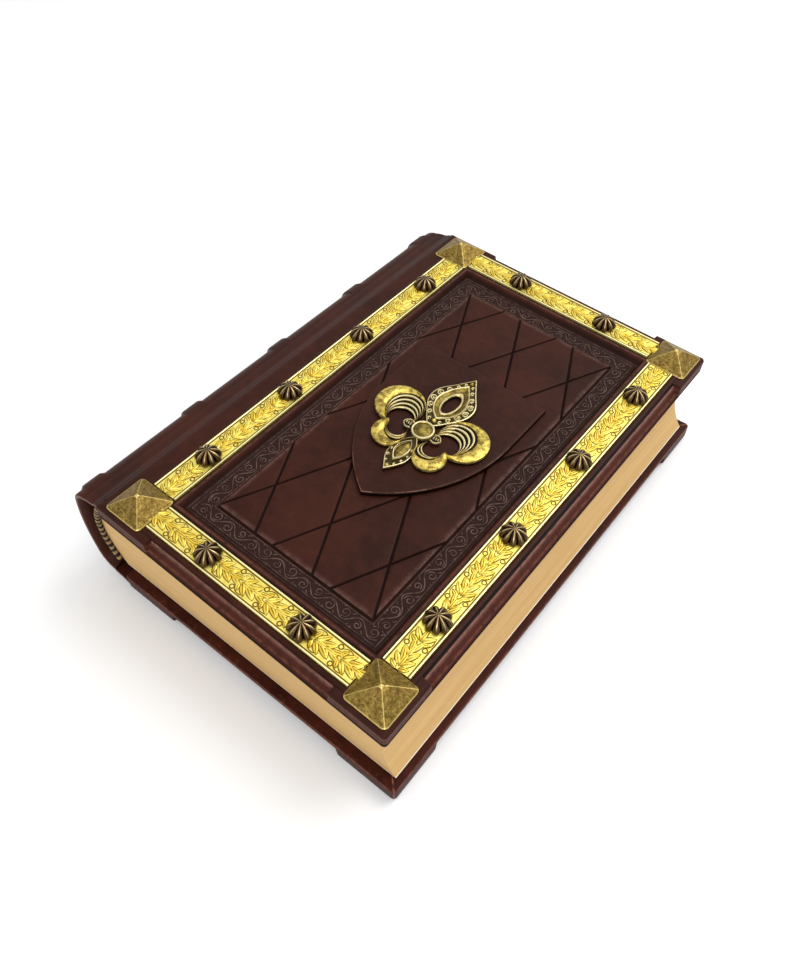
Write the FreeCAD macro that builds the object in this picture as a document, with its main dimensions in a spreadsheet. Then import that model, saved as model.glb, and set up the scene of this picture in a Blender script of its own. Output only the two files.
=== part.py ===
import FreeCAD, Part
import math
import os

import Sketcher
from FreeCAD import Vector

# An antique-style book bound in dark brown leather, lying on its back cover.
# Millimetres. +Z is up, +Y runs to the head of the book, +X to the fore-edge.
# The origin is on the ground under the middle of the closed book.

doc = FreeCAD.newDocument("leather_book")

# Driving sizes

SIZES = (
    ("cover_length", 246.0, "covers, head to tail"),
    ("front_cover_width", 154.8, "front cover, joint to fore-edge"),
    ("back_cover_width", 157.7, "back cover, which stands out a little further"),
    ("cover_thickness", 8.8, "one finished cover"),
    ("leather_thickness", 1.2, "cover leather, also where it is turned in"),
    ("turn_in", 13.0, "width of the leather folded inside a cover"),
    ("pastedown_thickness", 0.5, "endpaper glued inside a cover"),
    ("pastedown_gap", 0.4, "endpaper's edge to the turned-in leather"),
    ("running_gap", 0.3, "clearance between pages and covers"),
    ("joint_gap", 0.25, "hairline between a joint's leather and its cover"),
    ("hinge_reach", 1.5, "line that a cover turns on, outside the covers' joint edge"),
    ("hinge_drop", 0.8, "the same line, inside the cover's outer face"),
    ("glue_line", 0.25, "glue between the layers of the spine"),
    ("head_square", 5.0, "covers stand out past the pages at head and tail"),
    ("block_thickness", 43.0, "pages at their swelled back, pressed shut"),
    ("fore_drop", 7.8, "how much lower the front cover's face lies at the fore-edge"),
    ("fore_square", 3.2, "covers stand out past the pages at the fore-edge"),
    ("fore_hollow", 5.0, "depth of the concave fore-edge"),
    ("shoulder_reach", 3.5, "pages reach past the covers' joint edge"),
    ("back_round", 9.0, "rounded back stands out past its shoulders"),
    ("endband_width", 3.0, "striped band across the head or tail of the back"),
    ("endband_height", 2.4, "endband above the page edges"),
    ("endband_overhang", 1.9, "endband stands out past the rounded back"),
    ("endband_shy", 2.6, "endband stops short of the pages' faces"),
    ("spine_depth", 20.8, "covers' joint edge to the spine's outside"),
    ("spine_back_radius", 80.0, "curve of the spine's back"),
    ("spine_shoulder_radius", 10.0, "curve of the spine's shoulders"),
    ("spine_start_drop", 3.8, "spine's shoulders inside the covers' outer faces"),
    ("spine_leather", 1.4, "leather over the spine"),
    ("spine_inlay", 1.4, "card stiffener in the spine"),
    ("inlay_margin", 2.4, "stiffener's edge inside the leather's edge"),
    ("cap_fold", 1.4, "leather folded over the stiffener's end"),
    ("cap_turn_in", 11.0, "depth of that fold inside the spine"),
    ("spine_shy", 0.5, "spine stops short of the covers' ends"),
    ("tube_paper", 0.5, "paper tube glued between pages and spine"),
    ("band_count", 5, "raised bands"),
    ("band_end", 9.7, "outer bands' middle from the spine's end"),
    ("band_width", 12.0, "one raised band"),
    ("band_height", 1.2, "raised bands above the spine"),
    ("band_margin", 1.4, "ends of the raised bands inside the spine's edges"),
    ("false_band_shy", 1.0, "false bands stop short of the spine's shoulders"),
    ("joint_leather", 1.1, "leather in the joint"),
    ("joint_valley", 3.1, "depth of the groove along the joint"),
    ("frame_offset", 2.25, "frame's middle towards the fore-edge"),
    ("strip_width", 12.8, "brass strips"),
    ("strip_thickness", 0.7, "brass strips"),
    ("strip_fore_inset", 13.5, "fore-edge strip's middle from the cover's edge"),
    ("strip_head_inset", 12.6, "head and tail strips' middle from the cover's end"),
    ("strip_gap", 0.6, "strip's end to the corner piece"),
    ("strip_rail_width", 0.9, "raised border along a strip"),
    ("strip_rail_height", 0.3, "raised border along a strip"),
    ("leaf_pitch", 6.0, "pairs of leaves along a strip"),
    ("leaf_length", 6.0, "one leaf"),
    ("leaf_width", 2.3, "one leaf"),
    ("leaf_height", 0.55, "one leaf above the strip"),
    ("leaf_angle", 32.0, "leaf from the strip's length, degrees"),
    ("corner_size", 20.0, "corner pieces, square base"),
    ("corner_rim", 0.6, "corner piece's upright rim"),
    ("corner_height", 6.8, "corner piece, base to tip"),
    ("corner_tip", 0.9, "small flat at a corner piece's tip"),
    ("corner_fore_inset", 11.8, "corner piece's middle from the fore-edge"),
    ("corner_joint_inset", 15.0, "corner piece's middle from the joint edge"),
    ("corner_head_inset", 12.0, "corner piece's middle from head or tail"),
    ("stud_diameter", 12.0, "ribbed studs"),
    ("stud_height", 5.2, "ribbed studs above their strip"),
    ("stud_ribs", 10, "ribs round a stud"),
    ("stud_groove", 0.85, "radius of a stud's valley, share of its crest"),
    ("long_stud_end", 24.5, "outer studs' middle from the ends of the long strips"),
    ("long_strip_studs", 4, "studs on a long strip"),
    ("short_strip_spacing", 50.0, "studs along the short strips"),
    ("short_strip_studs", 2, "studs on a short strip"),
    ("shank_width", 1.5, "square nail under a stud"),
    ("shank_length", 3.6, "nail below the stud's base"),
    ("shank_clearance", 0.1, "hole round a nail, each side"),
    ("bead_width", 2.9, "rounded leather edge inside the long strips"),
    ("bead_end_width", 3.7, "rounded leather edge inside the short strips"),
    ("window_depth", 3.2, "sunk panel below the frame"),
    ("window_draft", 2.0, "slope of the panel's walls"),
    ("vine_width", 8.35, "embossed border round the padded field"),
    ("field_rise", 1.4, "padded diamonds above the border"),
    ("groove_width", 1.0, "pressed groove between diamonds"),
    ("diamond_slope", 0.7, "sloping edge of a diamond"),
    ("diamond_pitch", 31.1, "diamonds across the field"),
    ("bevel_width", 3.4, "sloping face at the covers' edges"),
    ("bevel_shelf", 1.2, "flat shelf beside the bevel"),
    ("bevel_step", 1.2, "shelf below the cover's face"),
    ("bevel_drop", 5.0, "bevel's outer edge below the cover's face"),
    ("bevel_stop", 3.2, "bevel's ends inside the panel's edges"),
    ("shield_width", 68.6, "shield patch"),
    ("shield_top", 42.3, "shield's top edge from the panel's middle"),
    ("shield_side", 12.0, "where a shield's straight side ends"),
    ("shield_tip", 47.8, "shield's point from the panel's middle"),
    ("shield_core", 1.4, "card under the shield's leather"),
    ("shield_leather", 0.9, "leather over the shield"),
    ("lily_centre", 5.5, "ornament's boss below the panel's middle"),
    ("lily_plate", 1.2, "fleur-de-lis at its edge"),
    ("lily_relief", 3.2, "fleur-de-lis at its highest"),
    ("boss_radius", 5.3, "round boss in the middle of the fleur-de-lis"),
    ("boss_height", 2.9, "boss above the shield"),
    ("top_petal_tip", 41.2, "tip of the upper petal from the boss's middle"),
    ("top_shoulder_out", 5.2, "upper petal's half width at its shoulder"),
    ("top_shoulder_up", 33.4, "height of the upper petal's shoulder"),
    ("top_petal_out", 11.2, "upper petal's half width at its widest"),
    ("top_petal_up", 21.0, "height of the upper petal's widest place"),
    ("top_waist_out", 3.6, "upper petal's half width at its foot"),
    ("top_waist_up", 7.0, "height of the upper petal's foot"),
    ("slot_top", 27.4, "upper end of the opening in the upper petal"),
    ("slot_bottom", 14.6, "lower end of the opening in the upper petal"),
    ("slot_half_width", 3.1, "half width of that opening"),
    ("low_petal_tip", 27.9, "tip of the lower petal below the boss's middle"),
    ("low_petal_out", 5.3, "lower petal's half width at its widest"),
    ("low_petal_down", 17.4, "depth of the lower petal's widest place"),
    ("low_waist_out", 3.0, "lower petal's half width at its foot"),
    ("low_waist_down", 8.0, "depth of the lower petal's foot"),
    ("high_lobe_out", 17.8, "middle of an upper lobe's outer arc, to the side"),
    ("high_lobe_up", 6.0, "the same, above the boss's middle"),
    ("high_lobe_radius", 11.7, "radius of an upper lobe's outer arc"),
    ("high_lobe_from", 205.0, "angle at which that arc starts"),
    ("high_lobe_to", -95.0, "angle at which it ends"),
    ("high_hollow_out", 12.4, "middle of an upper lobe's inner arc, to the side"),
    ("high_hollow_up", -0.2, "the same, above the boss's middle"),
    ("high_hollow_radius", 6.2, "radius of an upper lobe's inner arc"),
    ("high_hollow_from", 190.0, "angle at which that arc starts"),
    ("high_hollow_to", -45.0, "angle at which it ends"),
    ("low_lobe_out", 11.4, "middle of a lower lobe's outer arc, to the side"),
    ("low_lobe_up", -10.2, "the same, above the boss's middle"),
    ("low_lobe_radius", 7.8, "radius of a lower lobe's outer arc"),
    ("low_lobe_from", -215.0, "angle at which that arc starts"),
    ("low_lobe_to", 50.0, "angle at which it ends"),
    ("low_hollow_out", 9.6, "middle of a lower lobe's inner arc, to the side"),
    ("low_hollow_up", -6.0, "the same, above the boss's middle"),
    ("low_hollow_radius", 4.6, "radius of a lower lobe's inner arc"),
    ("low_hollow_from", -205.0, "angle at which that arc starts"),
    ("low_hollow_to", 0.0, "angle at which it ends"),
)


def fill_sheet():
    """Put every driving size in the document's sheet, one row each."""
    cells = doc.addObject("Spreadsheet::Sheet", "Sizes")
    for row, (alias, number, meaning) in enumerate(SIZES, start=1):
        cells.set("A%d" % row, alias)
        cells.set("B%d" % row, str(number))
        cells.set("C%d" % row, meaning)
        cells.setAlias("B%d" % row, alias)
    doc.recompute()
    return cells


sheet = fill_sheet()


class Size:
    """A length worked out from the sheet: its number now, and its formula."""

    def __init__(self, number, formula):
        self.number = number
        self.formula = formula

    def joined(self, sign, number, other):
        return Size(number, "(%s %s %s)" % (self.formula, sign, other.formula))

    def __add__(self, other):
        other = plain(other)
        return self.joined("+", self.number + other.number, other)

    def __sub__(self, other):
        other = plain(other)
        return self.joined("-", self.number - other.number, other)

    def __mul__(self, other):
        other = plain(other)
        return self.joined("*", self.number * other.number, other)

    def __truediv__(self, other):
        other = plain(other)
        return self.joined("/", self.number / other.number, other)

    def __radd__(self, other):
        return plain(other) + self

    def __rsub__(self, other):
        return plain(other) - self

    def __rmul__(self, other):
        return plain(other) * self

    def __neg__(self):
        return plain(0) - self

    def __float__(self):
        return float(self.number)

    def root(self):
        return Size(math.sqrt(self.number), "sqrt(%s)" % self.formula)


def plain(value):
    """A Size as it is, or a number made into one."""
    return value if isinstance(value, Size) else Size(value, repr(value))


def size(alias):
    return Size(float(sheet.get(alias)), "Sizes." + alias)


ZERO = plain(0.0)

# Places worked out from the sizes

half_cover = size("cover_length") / 2
half_block = half_cover - size("head_square")
book_thickness = size("cover_thickness") * 2 + size("block_thickness") + size("running_gap") * 2
mid_height = book_thickness / 2
pages_bottom = size("cover_thickness") + size("running_gap")
pages_top = pages_bottom + size("block_thickness")

spine_reach = size("spine_depth") + size("band_height")
joint_edge = (spine_reach - size("back_cover_width")) / 2
front_edge = joint_edge + size("front_cover_width")
back_edge = joint_edge + size("back_cover_width")
spine_outside = joint_edge - size("spine_depth")

frame_middle = joint_edge + size("front_cover_width") / 2 + size("frame_offset")
strip_reach = front_edge - size("strip_fore_inset") - frame_middle
strip_end_reach = half_cover - size("strip_head_inset")
window_half_width = strip_reach - size("strip_width") / 2 - size("bead_width")
window_half_length = strip_end_reach - size("strip_width") / 2 - size("bead_end_width")
floor_half_width = window_half_width - size("window_draft")
floor_half_length = window_half_length - size("window_draft")
field_half_width = floor_half_width - size("vine_width")
field_half_length = floor_half_length - size("vine_width")
window_floor = book_thickness - size("window_depth")
board_floor = window_floor - size("leather_thickness")
field_top = window_floor + size("field_rise")
corner_end_reach = half_cover - size("corner_head_inset")
strip_clear = size("corner_size") / 2 + size("strip_gap")
long_strip_half = corner_end_reach - strip_clear

# The front cover leans on the swelled pages, turned about its hinge line

hinge_x = joint_edge - size("hinge_reach")
hinge_z = book_thickness - size("hinge_drop")
lean_slope = size("fore_drop") / size("front_cover_width")
lean_cosine = plain(1.0) / (lean_slope * lean_slope + 1).root()
lean_sine = lean_slope * lean_cosine


def leaned(x, z):
    """Where a place on the flat front cover comes to lie."""
    along = x - hinge_x
    up = z - hinge_z
    return hinge_x + along * lean_cosine + up * lean_sine, hinge_z - along * lean_sine + up * lean_cosine


class Cover:
    """Which cover a piece belongs to, and how deep inside its face it lies."""

    def __init__(self, name, edge, upper):
        self.name = name
        self.edge = edge
        self.upper = upper

    def level(self, depth):
        return book_thickness - depth if self.upper else plain(depth)


front = Cover("front", front_edge, True)
back = Cover("back", back_edge, False)

# Small tools for building bodies


def bind(thing, place, value):
    thing.setExpression(place, plain(value).formula)


def label(thing, name):
    thing.Label = name
    return thing


def origin_plane(body, role):
    return next(plane for plane in body.Origin.OriginFeatures if plane.Role == role)


def pin_point(sketch, item, end, across, up):
    """Hold one end of a sketch item at two lengths from the sketch's origin."""
    for kind, value in (("DistanceX", across), ("DistanceY", up)):
        number = sketch.addConstraint(Sketcher.Constraint(kind, -1, 1, item, end, value.number))
        sketch.setExpression("Constraints[%d]" % number, value.formula)


def draw_outline(sketch, outline):
    """Draw a closed outline. A corner with a third entry is reached on an arc through it."""
    for number, corner in enumerate(outline):
        before = outline[number - 1]
        start = Vector(before[0].number, before[1].number, 0)
        stop = Vector(corner[0].number, corner[1].number, 0)
        if len(corner) == 3:
            through = Vector(corner[2][0].number, corner[2][1].number, 0)
            leftward = (through - start).cross(stop - through).z > 0
            ends = (start, through, stop) if leftward else (stop, through, start)
            item = sketch.addGeometry(Part.Arc(*ends))
            middle = sketch.addGeometry(Part.Point(through), True)
            pin_point(sketch, middle, 1, *corner[2])
            sketch.addConstraint(Sketcher.Constraint("PointOnObject", middle, 1, item))
        else:
            leftward = True
            item = sketch.addGeometry(Part.LineSegment(start, stop))
        pin_point(sketch, item, 1 if leftward else 2, *before[:2])
        pin_point(sketch, item, 2 if leftward else 1, *corner[:2])


def padded(body, name, role, outline, start, length):
    """Draw an outline on an origin plane of the body, moved out by start, and pad it."""
    sketch = body.newObject("Sketcher::SketchObject", name + "_outline")
    sketch.AttachmentSupport = (origin_plane(body, role), [""])
    sketch.MapMode = "FlatFace"
    flip = -1 if role == "XZ_Plane" else 1
    sketch.setExpression("AttachmentOffset.Base.z", (plain(start) * flip).formula)
    draw_outline(sketch, outline)
    pad = body.newObject("PartDesign::Pad", name + "_pad")
    pad.Profile = sketch
    pad.Reversed = role == "XZ_Plane"
    bind(pad, "Length", length)
    body.Tip = pad
    return pad


def prism(name, role, outline, start, length):
    """A body of one padded outline."""
    body = doc.addObject("PartDesign::Body", name)
    padded(body, name, role, outline, start, length)
    return label(body, name)


def rectangle(low_x, low_y, high_x, high_y):
    return [(low_x, low_y), (high_x, low_y), (high_x, high_y), (low_x, high_y)]


def box(name, low, high):
    """A Part::Box between two corners given as sizes."""
    block = doc.addObject("Part::Box", name)
    for side, place, lower, upper in zip(("Length", "Width", "Height"), "xyz", low, high):
        bind(block, side, upper - lower)
        bind(block, "Placement.Base." + place, lower)
    return label(block, name)


def joined(name, pieces):
    fusion = doc.addObject("Part::MultiFuse", name)
    fusion.Shapes = pieces
    return label(fusion, name)


def cut_from(name, base, tool):
    cut = doc.addObject("Part::Cut", name)
    cut.Base = base
    cut.Tool = tool
    return label(cut, name)


def common_of(name, base, tool):
    shared = doc.addObject("Part::Common", name)
    shared.Base = base
    shared.Tool = tool
    return label(shared, name)


def feature(name, shape, place=Vector(), turn=0.0):
    """A piece whose shape is worked out in code, turned about Z and moved to its place."""
    piece = doc.addObject("Part::Feature", name)
    piece.Shape = shape
    piece.Placement = FreeCAD.Placement(place, FreeCAD.Rotation(Vector(0, 0, 1), turn))
    return label(piece, name)


def face_solid(faces):
    """A closed solid from flat faces, each a list of points."""
    sides = [Part.Face(Part.makePolygon(points + points[:1])) for points in faces]
    shell = Part.makeShell(sides)
    shell.sewShape()
    solid = Part.makeSolid(shell)
    if solid.Volume < 0:
        solid.reverse()
    return solid


# Pages and what is sewn or glued to their back


def text_block():
    """The pages as one block, with a hollow fore-edge and a rounded, swelled back."""
    joint_side = joint_edge - size("shoulder_reach")
    upper_fore, upper_level = leaned(front_edge - size("fore_square"), pages_top)
    lower_fore = back_edge - size("fore_square")
    deepest = (upper_fore + lower_fore) / 2 - size("fore_hollow")
    outline = [
        (joint_side, pages_bottom),
        (lower_fore, pages_bottom),
        (upper_fore, upper_level, (deepest, (pages_bottom + upper_level) / 2)),
        (joint_side, pages_top),
    ]
    outline[0] = outline[0] + ((joint_side - size("back_round"), mid_height),)
    return prism("text_block", "XZ_Plane", outline, -half_block, half_block * 2)


def rounded_back():
    """Radius and middle of the arc of the pages' back."""
    half = size("block_thickness") / 2
    radius = (half * half + size("back_round") * size("back_round")) / (size("back_round") * 2)
    return radius, joint_edge - size("shoulder_reach") - size("back_round") + radius


block_radius, block_centre = rounded_back()


def arc_x(centre, radius, rise):
    """Where an arc that bulges away from the covers stands at a height above its middle."""
    return centre - (radius * radius - rise * rise).root()


def crescent(name, centre, radii, rises, start, length):
    """A curved strip between two arcs of one centre, each ending at its own height."""
    outline = [
        (arc_x(centre, radii[0], rises[0]), mid_height - rises[0]),
        (arc_x(centre, radii[0], rises[0]), mid_height + rises[0], (centre - radii[0], mid_height)),
        (arc_x(centre, radii[1], rises[1]), mid_height + rises[1]),
        (arc_x(centre, radii[1], rises[1]), mid_height - rises[1], (centre - radii[1], mid_height)),
    ]
    return prism(name, "XZ_Plane", outline, start, length)


def endbands():
    """Striped bands that cap the back of the pages at head and tail."""
    outer = block_radius + size("endband_overhang")
    inner = outer - size("endband_width")
    rise = size("block_thickness") / 2 - size("endband_shy")
    for name, start in (("tail_band", -half_block - size("endband_height")), ("head_band", half_block)):
        crescent(name, block_centre, (outer, inner), (rise, rise), start, size("endband_height"))


# Spine: leather over a bent card, with false bands between them

spine_half = half_cover - size("spine_shy")
half_height = mid_height - size("spine_start_drop")
shoulder_up = half_height - size("spine_shoulder_radius")
back_x = spine_outside + size("spine_back_radius")
centre_distance = size("spine_back_radius") - size("spine_shoulder_radius")
shoulder_run = (centre_distance * centre_distance - shoulder_up * shoulder_up).root()
shoulder_x = back_x - shoulder_run


def layer_end(depth, margin):
    """Where a face of the spine ends on its shoulder, from the shoulder's own middle."""
    radius = size("spine_shoulder_radius") - depth
    return -margin, (radius * radius - margin * margin).root()


def spine_face(depth, margin):
    """One face of the spine from its lower end to its upper end, depth inside the leather."""
    radius = size("spine_shoulder_radius") - depth
    end_x, end_up = layer_end(depth, margin)
    turn_x = -radius * shoulder_run / centre_distance
    turn_up = radius * shoulder_up / centre_distance
    half_x = end_x + turn_x
    half_up = end_up + turn_up
    share = radius / (half_x * half_x + half_up * half_up).root()
    end = (shoulder_x + end_x, shoulder_up + end_up)
    middle = (shoulder_x + half_x * share, shoulder_up + half_up * share)
    turn = (shoulder_x + turn_x, shoulder_up + turn_up)
    outside = (spine_outside + depth, mid_height)
    lower_middle = (middle[0], mid_height - middle[1])
    upper_middle = (middle[0], mid_height + middle[1])
    return [
        (end[0], mid_height - end[1]),
        (turn[0], mid_height - turn[1], lower_middle),
        (turn[0], mid_height + turn[1], outside),
        (end[0], mid_height + end[1], upper_middle),
    ]


def spine_layer(name, outer, inner, margin, start, length):
    """A bent strip between two faces of the spine."""
    there = spine_face(outer, margin)
    back_again = spine_face(inner, margin)[::-1]
    bends = [corner[2] for corner in back_again[:-1]]
    there += [back_again[0]] + [corner[:2] + (bend,) for corner, bend in zip(back_again[1:], bends)]
    there[4] = there[4][:2]
    return prism(name, "XZ_Plane", there, start, length)


def band_centres():
    """Middle of each raised band along the spine."""
    count = int(size("band_count").number)
    outermost = spine_half - size("band_end")
    return [outermost * (2 * number / (count - 1) - 1) for number in range(count)]


def spine():
    """Spine leather with its raised bands, the false bands and the card inside it."""
    card_outer = size("spine_leather")
    card_inner = card_outer + size("spine_inlay")
    fold_inner = card_inner + size("leather_thickness")
    band_outer = card_outer - size("band_height")
    card_half = spine_half - size("cap_fold")
    margin = size("inlay_margin")
    width = size("band_width")
    glue = size("glue_line")
    core_width = width - size("spine_leather") * 2
    back_radius = size("spine_back_radius")
    hollow_rise = back_radius * shoulder_up / centre_distance - size("false_band_shy")
    core_rise = hollow_rise - glue
    hollow_radii = (back_radius - band_outer, back_radius - card_outer - glue)
    core_radii = (back_radius - band_outer - glue, back_radius - card_outer)
    skin_middle = size("spine_leather") / 2
    fold_middle = card_inner + size("leather_thickness") / 2
    pieces = [spine_layer("spine_skin", ZERO, card_outer, ZERO, -spine_half, spine_half * 2)]
    hollows = []
    for number, middle in enumerate(band_centres(), start=1):
        edge = size("band_margin")
        over = band_outer - size("spine_leather")
        cap = spine_layer("band_cap_%d" % number, over, skin_middle, edge, middle - width / 2, width)
        pieces.append(cap)
        start = middle - core_width / 2
        name = "raised_band_%d" % number
        crescent(name, back_x, core_radii, (core_rise, core_rise), start + glue, core_width - glue * 2)
        hollow = "band_hollow_%d" % number
        hollows.append(crescent(hollow, back_x, hollow_radii, (hollow_rise, hollow_rise), start, core_width))
    for end, outer_end in (("tail", -spine_half), ("head", card_half)):
        fold = (end + "_fold", skin_middle, fold_middle, margin, outer_end, size("cap_fold"))
        pieces.append(spine_layer(*fold))
        depth = size("cap_turn_in") + size("cap_fold")
        inner_start = -spine_half if end == "tail" else spine_half - depth
        pieces.append(spine_layer(end + "_turn_in", card_inner, fold_inner, margin + glue, inner_start, depth))
    whole = joined("spine_whole", pieces)
    cut_from("spine_leather", whole, joined("band_hollows", hollows))
    card_length = (card_half - glue) * 2
    spine_layer("spine_card", card_outer + glue, card_inner - glue, margin, glue - card_half, card_length)
    return card_inner + glue, card_half - size("cap_turn_in") - glue


def spine_tube(card_side, half_length):
    """Flattened paper tube: one side on the pages' back, the other on the spine card."""
    paper = size("tube_paper")
    margin = size("inlay_margin") + size("glue_line")
    length = half_length * 2
    on_card = spine_layer("tube_outer", card_side, card_side + paper, margin, -half_length, length)
    rise = size("block_thickness") / 2 - size("endband_shy")
    radii = (block_radius + paper, block_radius)
    on_pages = crescent("tube_inner", block_centre, radii, (rise, rise), -half_length, length)
    outer_x, outer_up = layer_end(card_side, margin)
    inner_x, inner_up = layer_end(card_side + paper, margin)
    sides = []
    for name, sign in (("upper", 1), ("lower", -1)):
        outline = [
            (arc_x(block_centre, radii[0], rise), mid_height + rise * sign),
            (arc_x(block_centre, radii[1], rise), mid_height + rise * sign),
            (shoulder_x + outer_x, mid_height + (shoulder_up + outer_up) * sign),
            (shoulder_x + inner_x - paper, mid_height + (shoulder_up + inner_up) * sign),
        ]
        sides.append(prism("tube_" + name, "XZ_Plane", outline, -half_length, length))
    joined("spine_tube", [on_card, on_pages] + sides)


# Covers: a board wrapped in leather, with bevels that stop before the corners


def bevel_profile(cover, edge, inset, sign):
    """Section of what the bevel takes off beside one edge, seen along that edge."""
    beyond = size("bevel_width")
    step = edge - (size("bevel_width") + size("bevel_shelf")) * sign
    shelf = edge - size("bevel_width") * sign
    slant = size("bevel_width") / (size("bevel_drop") - size("bevel_step"))
    fall = beyond / slant
    return [
        (step - inset * sign, cover.level(-beyond)),
        (step - inset * sign, cover.level(size("bevel_step") + inset)),
        (shelf - inset * sign, cover.level(size("bevel_step") + inset)),
        (edge + (beyond - inset) * sign, cover.level(size("bevel_drop") + fall + inset)),
        (edge + (beyond - inset) * sign, cover.level(-beyond)),
    ]


def cover_form(cover, name, inset, bottom):
    """One cover's outer form moved in by inset, from its face down to the bottom depth."""
    low_x = joint_edge + inset
    high_x = cover.edge - inset
    end = half_cover - inset
    faces = (cover.level(bottom), cover.level(inset))
    lower, upper = faces if cover.upper else faces[::-1]
    slab = box(name + "_slab", (low_x, -end, lower), (high_x, end, upper))
    stop_x = window_half_width - size("bevel_stop") + inset
    stop_y = window_half_length - size("bevel_stop") + inset
    tools = []
    for side, sign in (("tail", -1), ("head", 1)):
        outline = bevel_profile(cover, half_cover * sign, inset, sign)
        start = frame_middle - stop_x
        tools.append(prism("%s_%s_bevel" % (name, side), "YZ_Plane", outline, start, stop_x * 2))
    outline = bevel_profile(cover, cover.edge, inset, 1)
    tools.append(prism(name + "_fore_bevel", "XZ_Plane", outline, -stop_y, stop_y * 2))
    return slab, tools


def window_tool(name, inset, floor, top):
    """The sunk panel's space: a rectangle that narrows towards its floor."""
    space = doc.addObject("Part::Wedge", name)
    depth = top - floor
    slope = size("window_draft") / size("window_depth")
    half_x = floor_half_width + inset
    half_y = floor_half_length + inset
    upper_x = half_x + slope * depth
    upper_y = half_y + slope * depth
    # A wedge tapers along its own Y, so it is stood up: its Y becomes Z, its Z becomes -Y.
    for place, value in (
        ("Xmin", -half_x), ("Xmax", half_x), ("Zmin", -half_y), ("Zmax", half_y),
        ("X2min", -upper_x), ("X2max", upper_x), ("Z2min", -upper_y), ("Z2max", upper_y),
        ("Ymin", ZERO), ("Ymax", depth),
    ):
        bind(space, place, value)
    space.Placement = FreeCAD.Placement(Vector(), FreeCAD.Rotation(Vector(1, 0, 0), 90))
    bind(space, "Placement.Base.x", frame_middle)
    bind(space, "Placement.Base.z", floor)
    return label(space, name)


def keep_side(points, spot, normal):
    """The part of a flat convex outline on the side of a line that its normal leaves."""
    kept = []
    for number, point in enumerate(points):
        before = points[number - 1]
        here = (point - spot).dot(normal)
        there = (before - spot).dot(normal)
        if (here < 0) != (there < 0):
            kept.append(before + (point - before) * (there / (there - here)))
        if here < 0:
            kept.append(point)
    return kept


def diamond_outline(column, row, inset):
    """One diamond of the lattice, clipped by the field and moved in by inset."""
    wide = field_half_width.number
    tall = field_half_length.number
    pitch = size("diamond_pitch").number
    lean = wide / tall
    outline = [Vector(x, y, 0) for x, y in ((-wide, -tall), (wide, -tall), (wide, tall), (-wide, tall))]
    for sign, number in ((1, column), (-1, row)):
        outward = Vector(1, -sign * lean, 0).normalize()
        for side in (0, 1):
            facing = outward * (1 if side else -1)
            spot = Vector(pitch * (number + side), 0, 0) - facing * inset
            outline = keep_side(outline, spot, facing) if outline else []
    for facing in (Vector(1, 0, 0), Vector(-1, 0, 0), Vector(0, 1, 0), Vector(0, -1, 0)):
        spot = Vector(facing.x * wide, facing.y * tall, 0) - facing * inset
        outline = keep_side(outline, spot, facing) if outline else []
    return outline


def diamond_pads(base, top, inset):
    """The padded diamonds as low frusta that stand on base, in the panel's frame."""
    slope = size("diamond_slope").number
    gap = size("groove_width").number / 2 + inset
    reach = int(math.ceil(2 * field_half_width.number / size("diamond_pitch").number)) + 1
    pads = []
    for column in range(-reach, reach):
        for row in range(-reach, reach):
            lower = diamond_outline(column, row, gap)
            upper = diamond_outline(column, row, gap + slope)
            if len(upper) < 3 or len(upper) != len(lower):
                continue
            low = [Vector(frame_middle.number + p.x, p.y, base.number) for p in lower]
            high = [Vector(frame_middle.number + p.x, p.y, top.number) for p in upper]
            sides = [[low[n - 1], low[n], high[n], high[n - 1]] for n in range(len(low))]
            pads.append(face_solid([low[::-1], high] + sides))
    return pads


def nail_holes():
    """Square holes for every nail, as one compound, deeper than the nails."""
    width = size("shank_width") + size("shank_clearance") * 2
    depth = size("shank_length") + size("shank_clearance")
    holes = []
    for name, x, y, on_strip in stud_places():
        base = book_thickness + (size("strip_thickness") if on_strip else ZERO)
        corner = Vector((x - width / 2).number, (y - width / 2).number, (base - depth).number)
        rise = (depth + size("strip_thickness") * 2).number
        holes.append(Part.makeBox(width.number, width.number, rise, corner))
    return feature("nail_holes", Part.makeCompound(holes))


def front_cover():
    """Board, frame board, padding and the leather that is moulded over them."""
    skin = size("leather_thickness")
    above = book_thickness + size("window_depth")
    slab, bevels = cover_form(front, "front_outer", ZERO, size("cover_thickness"))
    window = window_tool("panel_space", ZERO, window_floor, above)
    blank = cut_from("front_outer_form", slab, joined("front_outer_cuts", bevels + [window]))
    pads = feature("leather_diamonds", Part.makeCompound(diamond_pads(window_floor, field_top, 0.0)))
    covered = joined("front_covered", [blank, pads])

    slab, bevels = cover_form(front, "front_inner", skin, size("cover_thickness") - skin)
    core = cut_from("front_core", slab, joined("front_inner_cuts", bevels))
    window = window_tool("board_space", skin, board_floor, above)
    framed = cut_from("front_framed", core, window)
    low_side = box("below_frame", (joint_edge, -half_cover, ZERO), (front_edge, half_cover, board_floor))
    high_side = box("above_board", (joint_edge, -half_cover, board_floor), (front_edge, half_cover, above))
    holes = nail_holes()
    cut_from("front_board", common_of("front_board_blank", framed, low_side), holes)
    cut_from("frame_board", common_of("frame_board_blank", framed, high_side), holes)
    padding = diamond_pads(board_floor, field_top - skin, skin.number / 2)
    padding_piece = feature("field_padding", Part.makeCompound(padding))

    opening = turn_in_window(front)
    inside = joined("front_inside", [framed, opening, holes])
    hollow = cut_from("front_hollowed", covered, inside)
    cut_from("front_leather", hollow, padding_piece)


def turn_in_window(cover):
    """Where the inside of a cover is free of turned-in leather."""
    skin = size("leather_thickness")
    inner = cover.level(size("cover_thickness") - skin)
    outer = cover.level(size("cover_thickness") + skin)
    lower, upper = (outer, inner) if cover.upper else (inner, outer)
    end = half_cover - size("turn_in")
    return box(cover.name + "_opening", (joint_edge - skin, -end, lower),
               (cover.edge - size("turn_in"), end, upper))


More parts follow.
